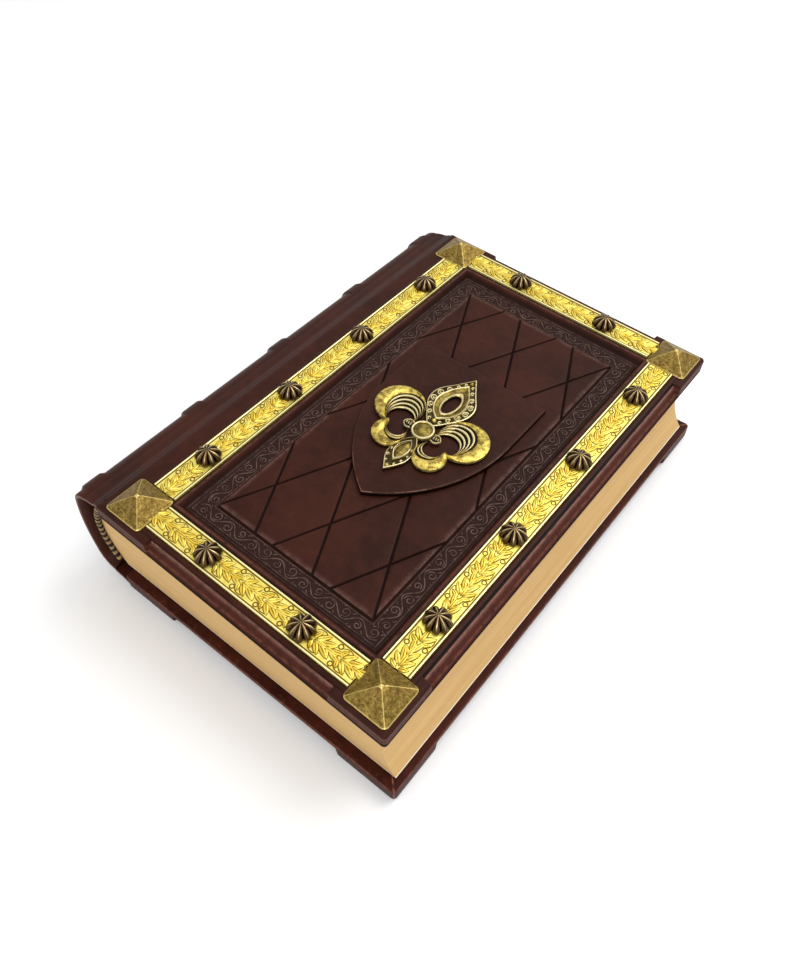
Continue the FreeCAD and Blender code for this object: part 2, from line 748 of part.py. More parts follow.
def back_cover():
    """Board and leather of the plain back cover."""
    skin = size("leather_thickness")
    slab, bevels = cover_form(back, "back_outer", ZERO, size("cover_thickness"))
    blank = cut_from("back_outer_form", slab, joined("back_outer_cuts", bevels))
    slab, bevels = cover_form(back, "back_inner", skin, size("cover_thickness") - skin)
    board = cut_from("back_board", slab, joined("back_inner_cuts", bevels))
    cut_from("back_leather", blank, joined("back_inside", [board, turn_in_window(back)]))


def pastedown(cover):
    """Endpaper glued inside a cover, between the turned-in edges."""
    board_side = cover.level(size("cover_thickness") - size("leather_thickness"))
    page_side = cover.level(size("cover_thickness") - size("leather_thickness") + size("pastedown_thickness"))
    lower, upper = (page_side, board_side) if cover.upper else (board_side, page_side)
    gap = size("pastedown_gap")
    end = half_cover - size("turn_in") - gap
    low_x = joint_edge + size("leather_thickness")
    high_x = cover.edge - size("turn_in") - gap
    outline = rectangle(low_x, -end, high_x, end)
    prism(cover.name + "_pastedown", "XY_Plane", outline, lower, upper - lower)


def joint_strip(cover):
    """Leather of the groove between a cover and the spine, which bends at the hinge."""
    thick = size("joint_leather")
    cover_side = joint_edge - size("joint_gap")
    cover_drop = size("bevel_step")
    middle = (cover_side + shoulder_x) / 2
    deepest = cover.level(size("joint_valley"))
    spine_level = cover.level(size("spine_start_drop"))
    inward = -1 if cover.upper else 1
    outline = [
        (cover_side, cover.level(cover_drop), (middle, deepest)),
        (cover_side, cover.level(cover_drop) + thick * inward),
        (shoulder_x, spine_level + thick * inward, (middle, deepest + thick * inward)),
        (shoulder_x, spine_level),
    ]
    prism(cover.name + "_joint", "XZ_Plane", outline, -spine_half, spine_half * 2)


# Brass furniture of the front cover


def corner_middles():
    """Middle of each corner piece, with the words for its place."""
    near_joint = joint_edge + size("corner_joint_inset")
    near_fore = front_edge - size("corner_fore_inset")
    for end, y in (("tail", -corner_end_reach), ("head", corner_end_reach)):
        for side, x in (("spine", near_joint), ("fore", near_fore)):
            yield "corner_%s_%s" % (end, side), x, y


def stud_places():
    """Name and place of every nailed piece, and whether it sits on a brass strip."""
    places = [(name, x, y, False) for name, x, y in corner_middles()]
    outermost = long_strip_half - size("long_stud_end")
    for side, sign in (("spine", -1), ("fore", 1)):
        count = int(size("long_strip_studs").number)
        for number in range(count):
            y = outermost * (2 * number / (count - 1) - 1)
            places.append(("stud_%s_%d" % (side, number + 1), frame_middle + strip_reach * sign, y, True))
    for end, sign in (("tail", -1), ("head", 1)):
        count = int(size("short_strip_studs").number)
        for number in range(count):
            x = frame_middle + size("short_strip_spacing") * (number - (count - 1) / 2)
            places.append(("stud_%s_%d" % (end, number + 1), x, strip_end_reach * sign, True))
    return places


def shank(name):
    """The square nail under a stud, about its own middle."""
    half = size("shank_width") / 2
    return box(name, (-half, -half, -size("shank_length")), (half, half, ZERO))


def corner_piece(name, x, y):
    """Four-sided brass pyramid on a low rim, with its nail."""
    half = size("corner_size") / 2
    rim = size("corner_rim")
    base = box(name + "_rim", (-half, -half, ZERO), (half, half, rim))
    slope = doc.addObject("Part::Wedge", name + "_slopes")
    tip = size("corner_tip") / 2
    for place, value in (
        ("Xmin", -half), ("Xmax", half), ("Zmin", -half), ("Zmax", half),
        ("X2min", -tip), ("X2max", tip), ("Z2min", -tip), ("Z2max", tip),
        ("Ymin", ZERO), ("Ymax", size("corner_height") - rim),
    ):
        bind(slope, place, value)
    slope.Placement = FreeCAD.Placement(Vector(), FreeCAD.Rotation(Vector(1, 0, 0), 90))
    bind(slope, "Placement.Base.z", rim)
    piece = joined(name, [base, slope, shank(name + "_nail")])
    bind(piece, "Placement.Base.x", x)
    bind(piece, "Placement.Base.y", y)
    bind(piece, "Placement.Base.z", book_thickness)


# Rings of a stud's head, from its foot up: share of its radius, share of its height
STUD_RINGS = ((1.0, 0.0), (0.93, 0.42), (0.62, 0.8))
# Share of a leaf's length at which it is widest and highest
LEAF_WIDEST = 0.45


def ribbed_dome():
    """The ribbed head of a stud: crests and valleys that run up to the middle."""
    ribs = int(size("stud_ribs").number)
    radius = size("stud_diameter").number / 2
    height = size("stud_height").number
    valley = size("stud_groove").number
    rings = []
    for share, rise in STUD_RINGS:
        ring = []
        for number in range(2 * ribs):
            turn = math.pi * number / ribs
            out = radius * share * (valley if number % 2 else 1.0)
            ring.append(Vector(out * math.cos(turn), out * math.sin(turn), height * rise))
        rings.append(ring)
    tip = Vector(0, 0, height)
    faces = [rings[0][::-1]]
    for lower, upper in zip(rings, rings[1:]):
        for number in range(2 * ribs):
            faces.append([lower[number - 1], lower[number], upper[number]])
            faces.append([lower[number - 1], upper[number], upper[number - 1]])
    for number in range(2 * ribs):
        faces.append([rings[-1][number - 1], rings[-1][number], tip])
    return face_solid(faces)


def ribbed_stud(name, x, y, dome):
    """A cast stud with its nail, driven through a strip."""
    head = feature(name + "_head", dome)
    piece = joined(name, [head, shank(name + "_nail")])
    bind(piece, "Placement.Base.x", x)
    bind(piece, "Placement.Base.y", y)
    bind(piece, "Placement.Base.z", book_thickness + size("strip_thickness"))


def leaf(root, angle):
    """One laurel leaf: a kite with a raised middle."""
    along = Vector(math.cos(angle), math.sin(angle), 0)
    aside = Vector(-along.y, along.x, 0)
    length = size("leaf_length").number
    half = size("leaf_width").number / 2
    rise = Vector(0, 0, size("leaf_height").number)
    wide_at = root + along * (length * LEAF_WIDEST)
    foot = [root, wide_at - aside * half, root + along * length, wide_at + aside * half]
    ridge = wide_at + rise
    return face_solid([foot[::-1]] + [[foot[n - 1], foot[n], ridge] for n in range(4)])


def strip_shape(length):
    """A stamped strip along X from its middle: plate, raised borders, pairs of leaves."""
    width = size("strip_width").number
    thick = size("strip_thickness").number
    rail = size("strip_rail_width").number
    rise = size("strip_rail_height").number
    pieces = [Part.makeBox(length, width, thick, Vector(-length / 2, -width / 2, 0))]
    for edge in (-width / 2, width / 2 - rail):
        pieces.append(Part.makeBox(length, rail, rise, Vector(-length / 2, edge, thick)))
    pitch = size("leaf_pitch").number
    angle = math.radians(size("leaf_angle").number)
    count = int((length - size("leaf_length").number) / pitch)
    start = -(count * pitch + size("leaf_length").number * math.cos(angle)) / 2
    stem_gap = size("leaf_width").number / 2
    for number in range(count + 1):
        for side in (-1, 1):
            root = Vector(start + number * pitch, side * stem_gap, thick)
            pieces.append(leaf(root, side * angle))
    return pieces[0].multiFuse(pieces[1:])


def stud_seats():
    """The round flats under the studs, where the stamped leaves are pressed away."""
    reach = size("stud_diameter") / 2 + size("shank_clearance")
    seats = []
    for name, x, y, on_brass in stud_places():
        if on_brass:
            seat = doc.addObject("Part::Cylinder", name + "_seat")
            bind(seat, "Radius", reach)
            bind(seat, "Height", size("stud_height"))
            bind(seat, "Placement.Base.x", x)
            bind(seat, "Placement.Base.y", y)
            bind(seat, "Placement.Base.z", book_thickness + size("strip_thickness"))
            seats.append(seat)
    return joined("stud_seats", seats)


def brass_strips(holes):
    """Four stamped strips between the corner pieces."""
    cuts = joined("strip_cuts", [holes, stud_seats()])
    middle = (joint_edge + size("corner_joint_inset") + front_edge - size("corner_fore_inset")) / 2
    short_end = front_edge - size("corner_fore_inset") - strip_clear - middle
    for side, sign in (("spine", -1), ("fore", 1)):
        shape = strip_shape(long_strip_half.number * 2)
        place = Vector((frame_middle + strip_reach * sign).number, 0, book_thickness.number)
        plate = feature("plate_" + side, shape, place, 90.0)
        cut_from("strip_" + side, plate, cuts)
    for end, sign in (("tail", -1), ("head", 1)):
        shape = strip_shape(short_end.number * 2)
        place = Vector(middle.number, (strip_end_reach * sign).number, book_thickness.number)
        plate = feature("plate_" + end, shape, place)
        cut_from("strip_" + end, plate, cuts)


# Shield patch and cast fleur-de-lis


def shield_outline(inset):
    """Heater shield: flat top, straight sides, two arcs to the point."""
    half = size("shield_width") / 2 - inset
    top = size("shield_top") - inset
    side = size("shield_side")
    tip = -size("shield_tip") + inset
    drop = side - tip
    radius = (half * half + drop * drop) / (half * 2)
    halfway = drop / 2
    out = (radius * radius - halfway * halfway).root() - radius + half
    return [
        (frame_middle - half, top),
        (frame_middle - half, side),
        (frame_middle, tip, (frame_middle - out, side - halfway)),
        (frame_middle + half, side, (frame_middle + out, side - halfway)),
        (frame_middle + half, top),
    ]


def shield():
    """Card shield covered in leather, glued on the padded field."""
    leather = size("shield_leather")
    core = prism("shield_core", "XY_Plane", shield_outline(leather), field_top, size("shield_core"))
    whole = size("shield_core") + leather
    blank = prism("shield_blank", "XY_Plane", shield_outline(ZERO), field_top, whole)
    cut_from("shield_leather", blank, core)


# Sections of the casting, from its outline inwards: share of the way in, share of the relief
HIGH_LOBE = ((0.12, 0.7), (0.34, 1.0), (0.52, 0.75), (0.64, 0.85), (0.7, 0.55), (0.8, 0.7), (0.88, 0.45))
LOW_LOBE = ((0.2, 0.75), (0.5, 0.85), (0.8, 0.6))
TOP_PETAL = ((0.12, 0.75), (0.22, 0.45), (0.5, 0.45), (0.62, 0.95), (0.76, 0.5), (0.9, 0.8))
LOW_PETAL = ((0.14, 0.75), (0.3, 0.45), (0.5, 0.85), (0.66, 0.85), (0.76, 0.5))
LOBE_STEPS = 13
PETAL_STEPS = 8


def relief(outer, inner, shares):
    """A band between two rows of points, whose top follows a section from one to the other."""
    plate = size("lily_plate").number
    high = size("lily_relief").number
    profile = [(0.0, plate)] + [(share, rise * high) for share, rise in shares] + [(1.0, plate)]
    rows = []
    for far, near in zip(outer, inner):
        rows.append([far + (near - far) * share + Vector(0, 0, rise) for share, rise in profile])
    faces = [[outer[0]] + rows[0] + [inner[0]], [outer[-1]] + rows[-1] + [inner[-1]]]
    for step in range(len(rows) - 1):
        before, after = rows[step], rows[step + 1]
        faces.append([outer[step], before[0], after[0], outer[step + 1]])
        faces.append([inner[step], before[-1], after[-1], inner[step + 1]])
        faces.append([outer[step], outer[step + 1], inner[step + 1]])
        faces.append([outer[step], inner[step + 1], inner[step]])
        for line in range(len(profile) - 1):
            faces.append([before[line], before[line + 1], after[line + 1]])
            faces.append([before[line], after[line + 1], after[line]])
    return face_solid(faces)


def arc_points(name):
    """Points along one of the lobes' arcs, from its sizes."""
    middle = Vector(size(name + "_out").number, size(name + "_up").number, 0)
    radius = size(name + "_radius").number
    start = size(name + "_from").number
    span = size(name + "_to").number - start
    points = []
    for step in range(LOBE_STEPS + 1):
        turn = math.radians(start + span * step / LOBE_STEPS)
        points.append(middle + Vector(radius * math.cos(turn), radius * math.sin(turn), 0))
    return points


def curve_points(places):
    """Points at even steps along a smooth curve through a few places."""
    curve = Part.BSplineCurve()
    curve.interpolate([Vector(x, y, 0) for x, y in places])
    return curve.discretize(Number=PETAL_STEPS + 1)


def top_petal():
    """Right half of the upper petal, from its tip down to the boss, round its opening."""
    outline = [
        (0.0, size("top_petal_tip").number),
        (size("top_shoulder_out").number, size("top_shoulder_up").number),
        (size("top_petal_out").number, size("top_petal_up").number),
        (size("top_waist_out").number, size("top_waist_up").number),
        (0.0, 0.0),
    ]
    top, bottom = size("slot_top").number, size("slot_bottom").number
    slot = [(0.0, top), (size("slot_half_width").number, (top + bottom) / 2), (0.0, bottom)]
    return relief(curve_points(outline), curve_points(slot), TOP_PETAL)


def low_petal():
    """Right half of the lower petal, whose section closes on a spine along the middle."""
    tip = -size("low_petal_tip").number
    outline = [
        (0.0, tip),
        (size("low_petal_out").number, -size("low_petal_down").number),
        (size("low_waist_out").number, -size("low_waist_down").number),
        (0.0, 0.0),
    ]
    start = tip + size("low_petal_out").number
    rise = -size("boss_radius").number / 2 - start
    spine_points = [Vector(0, start + rise * step / PETAL_STEPS, 0) for step in range(PETAL_STEPS + 1)]
    return relief(curve_points(outline), spine_points, LOW_PETAL)


def fleur_de_lis():
    """Cast ornament: boss, two petals and four curled lobes, one piece."""
    halves = [
        relief(arc_points("high_lobe"), arc_points("high_hollow"), HIGH_LOBE),
        relief(arc_points("low_lobe"), arc_points("low_hollow"), LOW_LOBE),
        top_petal(),
        low_petal(),
    ]
    pieces = [Part.makeCylinder(size("boss_radius").number, size("boss_height").number)] + halves
    pieces += [half.mirror(Vector(), Vector(1, 0, 0)) for half in halves]
    shape = pieces[0].multiFuse(pieces[1:])
    base = field_top + size("shield_core") + size("shield_leather")
    place = Vector(frame_middle.number, -size("lily_centre").number, base.number)
    feature("fleur_de_lis", shape, place)


# Build and write


def lay_on_pages(name):
    """A flat piece of the front cover, turned about the hinge line onto the pages."""
    flat = doc.getObject(name)
    flat.Label = name + "_flat"
    laid = doc.addObject("Part::Compound", name + "_laid")
    laid.Links = [flat]
    lean_degrees = math.degrees(math.atan(lean_slope.number))
    laid.Placement = FreeCAD.Placement(Vector(), FreeCAD.Rotation(Vector(0, 1, 0), lean_degrees))
    across, up = leaned(ZERO, ZERO)
    bind(laid, "Placement.Base.x", across)
    bind(laid, "Placement.Base.z", up)
    bind(laid, "Placement.Rotation.Angle", Size(lean_degrees, "atan(%s)" % lean_slope.formula))
    return label(laid, name)


text_block()
endbands()
inlay_inside, tube_half = spine()
spine_tube(inlay_inside, tube_half)
front_cover()
back_cover()
for one_cover in (front, back):
    pastedown(one_cover)
    joint_strip(one_cover)
for piece_name, middle_x, middle_y in corner_middles():
    corner_piece(piece_name, middle_x, middle_y)
stud_dome = ribbed_dome()
for piece_name, middle_x, middle_y, on_brass in stud_places():
    if on_brass:
        ribbed_stud(piece_name, middle_x, middle_y, stud_dome)
brass_strips(doc.getObject("nail_holes"))
shield()
fleur_de_lis()

FRONT_COVER = (
    ["front_board", "frame_board", "field_padding", "front_leather", "front_pastedown"]
    + ["strip_spine", "strip_fore", "strip_tail", "strip_head"]
    + [place[0] for place in stud_places()]
    + ["shield_core", "shield_leather", "fleur_de_lis"]
)
STANDING = (
    ["text_block", "head_band", "tail_band", "spine_leather", "spine_card", "spine_tube"]
    + ["raised_band_%d" % (number + 1) for number in range(int(size("band_count").number))]
    + ["front_joint", "back_board", "back_leather", "back_pastedown", "back_joint"]
)
finished = {name: doc.getObject(name) for name in STANDING}
finished.update((name, lay_on_pages(name)) for name in FRONT_COVER)
doc.recompute()


def check_document():
    """Stop if any object failed, or if a piece has no sound solid."""
    for thing in doc.Objects:
        if "Invalid" in thing.State or "Error" in thing.State:
            raise RuntimeError("%s failed: %s" % (thing.Label, thing.State))
    for name, piece in finished.items():
        shape = piece.Shape
        if shape.isNull() or not shape.isValid() or not shape.Solids:
            raise RuntimeError("%s has no sound solid" % name)


def write_pieces():
    os.makedirs("parts", exist_ok=True)
    for name, piece in finished.items():
        piece.Shape.exportStep("parts/%s.step" % name)


check_document()
write_pieces()
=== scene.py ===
import math

import bmesh
import bpy
import numpy as np
from mathutils import Matrix, Vector


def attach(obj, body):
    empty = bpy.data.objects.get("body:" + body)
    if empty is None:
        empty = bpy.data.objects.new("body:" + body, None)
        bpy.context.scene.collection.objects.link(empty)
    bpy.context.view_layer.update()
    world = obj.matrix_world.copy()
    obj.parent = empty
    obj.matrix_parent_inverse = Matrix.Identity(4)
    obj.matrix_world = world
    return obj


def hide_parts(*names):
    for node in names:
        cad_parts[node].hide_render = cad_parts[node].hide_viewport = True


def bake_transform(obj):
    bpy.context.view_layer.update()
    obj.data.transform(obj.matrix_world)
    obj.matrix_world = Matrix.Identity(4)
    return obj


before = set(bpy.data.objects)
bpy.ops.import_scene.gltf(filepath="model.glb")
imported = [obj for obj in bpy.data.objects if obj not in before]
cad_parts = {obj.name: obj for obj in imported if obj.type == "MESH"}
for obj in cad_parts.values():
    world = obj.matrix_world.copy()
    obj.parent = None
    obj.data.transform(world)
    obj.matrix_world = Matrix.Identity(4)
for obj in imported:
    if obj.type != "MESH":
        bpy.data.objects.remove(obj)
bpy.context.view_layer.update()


# The pages
#
# One block of trimmed paper, thicker at the sewn back than at the fore-edge. The cut edges are
# plain tan, and the single leaves show as faint lines that spread with the wedge.

class Wire:
    """A value that runs between shader nodes and takes part in Python's own maths."""

    def __init__(self, paint, socket):
        self.paint = paint
        self.socket = socket

    def maths(self, operation, *values):
        return self.paint.node("ShaderNodeMath", {"operation": operation}, dict(enumerate(values)))

    def __add__(self, other):
        return self.maths("ADD", self, other)

    def __radd__(self, other):
        return self.maths("ADD", other, self)

    def __sub__(self, other):
        return self.maths("SUBTRACT", self, other)

    def __rsub__(self, other):
        return self.maths("SUBTRACT", other, self)

    def __mul__(self, other):
        return self.maths("MULTIPLY", self, other)

    def __rmul__(self, other):
        return self.maths("MULTIPLY", other, self)

    def __truediv__(self, other):
        return self.maths("DIVIDE", self, other)

    def __abs__(self):
        return self.maths("ABSOLUTE", self)

    def sine(self):
        return self.maths("SINE", self)

    def larger(self, other):
        return self.maths("MAXIMUM", self, other)

    def smaller(self, other):
        return self.maths("MINIMUM", self, other)

    def step(self, low, high):
        """From 0 at low to 1 at high, smoothly."""
        sockets = {"Value": self, "From Min": low, "From Max": high}
        return self.paint.node("ShaderNodeMapRange", {"interpolation_type": "SMOOTHSTEP"}, sockets)

    def band(self, start, full, fall, end):
        """Up from 0 at start to 1 at full, and down again from fall to 0 at end."""
        return self.step(start, full) * (1 - self.step(fall, end))


class Paint:
    """A material that is being made, with the nodes it is made from."""

    def __init__(self, name):
        self.material = bpy.data.materials.new(name)
        self.material.use_nodes = True
        self.tree = self.material.node_tree
        self.surface = self.tree.nodes["Principled BSDF"]
        self.spot = self.node("ShaderNodeTexCoord", {}, {}, "Object")

    def node(self, kind, settings, sockets, output=0):
        """A new node with its settings and sockets, as a wire from one of its outputs."""
        made = self.tree.nodes.new(kind)
        for name, value in settings.items():
            setattr(made, name, value)
        for place, value in sockets.items():
            self.join(value, made.inputs[place])
        return Wire(self, made.outputs[output])

    def join(self, value, socket):
        """Link a wire to a socket, or set the socket to a plain value."""
        if isinstance(value, Wire):
            self.tree.links.new(value.socket, socket)
        else:
            socket.default_value = value

    def axes(self, vector):
        """The three parts of a vector, as wires."""
        return [self.node("ShaderNodeSeparateXYZ", {}, {0: vector}, axis) for axis in "XYZ"]

    def noise(self, vector, scale, detail=3.0, rough=0.55):
        sockets = {"Vector": vector, "Scale": scale, "Detail": detail, "Roughness": rough}
        return self.node("ShaderNodeTexNoise", {}, sockets)

    def mix(self, share, first, second):
        """One colour turned into another by a share from 0 to 1."""
        return self.node("ShaderNodeMix", {"data_type": "RGBA"}, {0: share, 6: first, 7: second}, 2)

    def finish(self, colour, rough, relief=None, depth=0.0, metal=0.0, specular=0.5):
        """Join the surface's inputs. The relief is a bump of that depth in metres."""
        sockets = {"Base Color": colour, "Roughness": rough, "Metallic": metal}
        sockets["Specular IOR Level"] = specular
        if relief is not None:
            bump = {"Height": relief, "Distance": depth, "Strength": 1.0}
            sockets["Normal"] = self.node("ShaderNodeBump", {}, bump)
        for name, value in sockets.items():
            self.join(value, self.surface.inputs[name])
        return self.material


def tone(red, green, blue):
    """A colour given from 0 to 255 as it is seen, turned to the light that it stands for."""
    seen = [part / 255 for part in (red, green, blue)]
    return [p / 12.92 if p < 0.04045 else ((p + 0.055) / 1.055) ** 2.4 for p in seen] + [1.0]


def dress(name, material):
    """Give a piece of the frame its material."""
    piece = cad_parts[name]
    piece.data.materials.clear()
    piece.data.materials.append(material)


# The pages' underside, their thickness at the hinge, and what they lose per metre from there
PAGES_LOW = 0.0091
PAGES_THICK = 0.043
WEDGE = 0.0504
WEDGE_START = -0.0694


def page_paint():
    """Tan paper with faint leaves that spread with the wedge, a few stains and a pale lowest leaf."""
    paint = Paint("page_edges")
    x, y, z = paint.axes(paint.spot)
    leaf = (z - PAGES_LOW) / (PAGES_THICK - WEDGE * (x - WEDGE_START))
    place = paint.node("ShaderNodeCombineXYZ", {}, {0: x * 9.0, 1: y * 9.0, 2: leaf * 90.0})
    leaves = paint.noise(place, 1.0, 5.0, 0.7)
    stain = paint.noise(paint.spot, 22.0)
    plain = paint.mix(leaves.step(0.3, 0.7), tone(190, 151, 95), tone(212, 176, 118))
    colour = paint.mix(stain.step(0.45, 0.75) * 0.2, plain, tone(190, 150, 92))
    colour = paint.mix(1 - leaf.step(0.006, 0.016), colour, tone(244, 232, 204))
    return paint.finish(colour, 0.85, leaves, 0.0002)


dress("text_block", page_paint())


# The endbands
#
# A cord across the back of the pages at head and tail, wound with black and cream threads in
# turn. It is sewn to the pages and follows their round back.

MM = 0.001
MID_HEIGHT = 30.6
BLOCK_HALF = 118.0
BACK_CENTRE = -50.17
BAND_RADIUS = 30.58
BAND_REACH = math.asin(18.9 / BAND_RADIUS)
BAND_OUT = 1.2
CORD_HIGH = 1.4
CORD_WIDE = 1.12
THREAD_PITCH = 0.9
STRIPES = 13


def placed(name, data):
    """A new object in the scene."""
    piece = bpy.data.objects.new(name, data)
    bpy.context.scene.collection.objects.link(piece)
    return piece


def stand_in(piece, node, body):
    """Let a new piece take the place of a node of the frame."""
    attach(piece, body)
    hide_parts(node)


class Skin:
    """Points in millimetres and faces of one piece, gathered bit by bit."""

    def __init__(self):
        self.points = []
        self.faces = []
        self.count = 0

    def add(self, points, faces):
        points = np.asarray(points, float).reshape(-1, 3)
        self.points.append(points)
        self.faces += [[self.count + corner for corner in face] for face in faces]
        self.count += len(points)

    def rows(self, rows, around=False, low_end=False, high_end=False):
        """A surface through rows of points. Around joins each row's ends, and an end is closed flat."""
        rows = np.asarray(rows, float)
        count, width = rows.shape[:2]
        faces = []
        for row in range(count - 1):
            start = row * width
            for column in range(width if around else width - 1):
                after = (column + 1) % width
                faces.append((start + column, start + after, start + width + after, start + width + column))
        if low_end:
            faces.append(range(width))
        if high_end:
            faces.append(range((count - 1) * width, count * width))
        self.add(rows, faces)
        return self

    def build(self, name, material, crease=40.0):
        """The finished piece, smooth but for edges sharper than the crease."""
        form = bmesh.new()
        spots = [form.verts.new(point) for point in np.concatenate(self.points) * MM]
        for face in self.faces:
            form.faces.new([spots[corner] for corner in face])
        bmesh.ops.remove_doubles(form, verts=form.verts, dist=0.002 * MM)
        bmesh.ops.recalc_face_normals(form, faces=form.faces)
        mesh = bpy.data.meshes.new(name)
        form.to_mesh(mesh)
        form.free()
        mesh.materials.append(material)
        mesh.shade_smooth()
        mesh.set_sharp_from_angle(angle=math.radians(crease))
        return placed(name, mesh)


def thread_paint():
    paint = Paint("endband")
    x, y, z = paint.axes(paint.spot)
    height = z - MID_HEIGHT * MM
    turn = height.maths("ARCTAN2", height, BACK_CENTRE * MM - x)
    slant = abs(y) * 120.0
    light = (turn * (math.pi * STRIPES / BAND_REACH) + slant).sine().step(-0.2, 0.25)
    strand = (turn * 1500.0 + abs(y) * 2500.0).sine()
    gold = paint.mix(strand.step(-0.8, 0.6), tone(150, 116, 66), tone(226, 196, 138))
    colour = paint.mix(light, tone(24, 16, 12), gold)
    return paint.finish(colour, 0.6, strand, 0.00008)


def endband(name, side, material):
    """The wound cord at one end of the book, ridged by its threads and rounded off at both ends."""
    rows = []
    for turn in np.linspace(-BAND_REACH, BAND_REACH, 420):
        wound = 1.0 + 0.07 * math.cos(turn * BAND_RADIUS * 2 * math.pi / THREAD_PITCH)
        size = wound * math.sqrt(max(0.0, 1.0 - (abs(turn) / BAND_REACH) ** 60))
        ring = []
        for angle in np.linspace(0, 2 * math.pi, 14, endpoint=False):
            radius = BAND_RADIUS + CORD_HIGH * size * math.cos(angle)
            out = BLOCK_HALF + BAND_OUT + CORD_WIDE * size * math.sin(angle)
            height = MID_HEIGHT + radius * math.sin(turn)
            ring.append((BACK_CENTRE - radius * math.cos(turn), side * out, height))
        rows.append(ring)
    stand_in(Skin().rows(rows, around=True).build(name + "_thread", material), name, "block")


thread = thread_paint()
endband("tail_band", -1, thread)
endband("head_band", 1, thread)


# The inside of the spine
#
# A flattened tube of brown paper is glued between the pages' back and the bent card of the spine,
# and five strips of card under the leather make the raised bands. Only an edge shows at the ends.

def board_paint():
    paint = Paint("board")
    stretch = {0: paint.spot, 1: (1.0, 0.35, 1.0)}
    fibre = paint.noise(paint.node("ShaderNodeVectorMath", {"operation": "MULTIPLY"}, stretch), 900.0, 4.0)
    colour = paint.mix(fibre.step(0.3, 0.7), tone(96, 80, 60), tone(134, 114, 86))
    return paint.finish(colour, 0.9, fibre, 0.00005)


board = board_paint()
for node in ["spine_tube", "spine_card"] + ["raised_band_%d" % number for number in range(1, 6)]:
    dress(node, board)


# The leather of the spine
#
# Dark red-brown calf, moulded over card and bands, folded in at head and tail. The folds are
# rubbed lighter, and the sides run on into the leather of the two joints.

SPINE_END = 122.5
SPINE_X = -8.65
SHOULDER_X = -76.6
SHOULDER_UP = 16.8
SHOULDER_ROUND = 10.0
SPINE_ROUND = 80.0
BAND_PITCH = 56.4
BAND_HALF = 6.0
BAND_HIGH = 1.2


class Leather(Paint):
    """Smooth dark leather with fine pores and a little wear, redder with warmth."""

    def __init__(self, name, warmth):
        super().__init__(name)
        cloud = self.noise(self.spot, 26.0, 4.0, 0.6)
        fine = self.noise(self.spot, 210.0, 4.0, 0.65)
        pores = self.node("ShaderNodeTexVoronoi", {}, {"Vector": self.spot, "Scale": 1500.0}, "Distance")
        deep = self.mix(warmth, tone(42, 18, 10), tone(42, 13, 7))
        lighter = self.mix(warmth, tone(61, 29, 18), tone(70, 26, 14))
        self.colour = self.mix(cloud.step(0.3, 0.7) * 0.7 + fine.step(0.35, 0.75) * 0.3, deep, lighter)
        self.grain = fine * 0.6 + pores * 0.4
        self.rough = 0.36 + cloud.step(0.3, 0.7) * 0.08 + fine * 0.08

    def lay_tone(self, share, red, green, blue):
        """Turn the colour to another by a share from 0 to 1."""
        self.colour = self.mix(share, self.colour, tone(red, green, blue))

    def done(self):
        """The material, with the specular light that dark leather needs."""
        return self.finish(self.colour, self.rough, self.grain, 0.00012, specular=0.1)


def spine_paint():
    paint = Leather("spine_leather_paint", 0.5)
    y = paint.axes(paint.spot)[1]
    paint.lay_tone(abs(y).step((SPINE_END - 0.4) * MM, SPINE_END * MM) * 0.7, 126, 96, 84)
    return paint.done()


def circled(centre, radius, angles):
    """Points round a centre."""
    return np.column_stack([centre[0] + radius * np.cos(angles), centre[1] + radius * np.sin(angles)])


def spine_section():
    """Points and outward directions round the spine's outside, from the upper joint to the lower."""
    meet = math.atan2(SHOULDER_UP, SPINE_X - SHOULDER_X)
    high, low = MID_HEIGHT + SHOULDER_UP, MID_HEIGHT - SHOULDER_UP
    arcs = (((SHOULDER_X, high), SHOULDER_ROUND, np.linspace(math.pi / 2, math.pi - meet, 16)),
            ((SPINE_X, MID_HEIGHT), SPINE_ROUND, np.linspace(math.pi - meet, math.pi + meet, 30)[1:-1]),
            ((SHOULDER_X, low), SHOULDER_ROUND, np.linspace(math.pi + meet, 1.5 * math.pi, 16)))
    outward = [circled((0.0, 0.0), 1.0, angles) for centre, radius, angles in arcs]
    return np.concatenate([circled(*piece) for piece in arcs]), np.concatenate(outward)


def smooth(value):
    """0 below 0, 1 above 1, and a soft slope between."""
    value = np.clip(value, 0.0, 1.0)
    return value * value * (3 - 2 * value)


def travelled(points):
    """How far along a path each of its points lies."""
    return np.append(0.0, np.cumsum(np.linalg.norm(np.diff(points, axis=0), axis=1)))


def spine_rows():
    """Rows across the spine's leather, from inside the tail over the outside to inside the head."""
    bands = [BAND_PITCH * number for number in (-2, -1, 0, 1, 2)]
    lengths = set(np.arange(-120.0, 120.1, 2.5))
    for middle in bands:
        for offset in np.arange(3.4, 7.0, 0.3):
            lengths |= {middle - offset, middle + offset}
    # The turned-in end: place along the spine, and height over the leather's outside
    fold = [(-110, -4.0), (-115.5, -3.9), (-119, -3.4), (-120.8, -2.8), (-121.8, -2.3), (-122.35, -1.7)]
    fold += [(-SPINE_END, -1.15), (-122.4, -0.6), (-122.1, -0.2), (-121.6, 0.0)]
    stations = fold + [(y, None) for y in sorted(lengths)] + [(-y, high) for y, high in fold[::-1]]
    points, outward = spine_section()
    travel = travelled(points)
    from_edge = smooth((np.minimum(travel, travel[-1] - travel) - 1.0) / 9.0)
    rows = []
    for y, high in stations:
        if high is None:
            nearest = min(abs(y - middle) for middle in bands)
            lift = BAND_HIGH * smooth((BAND_HALF + 0.3 - nearest) / 2.2) * from_edge
        else:
            lift = np.full(len(points), float(high))
        place = points + outward * lift[:, None]
        rows.append(np.column_stack([place[:, 0], np.full(len(points), y), place[:, 1]]))
    return rows


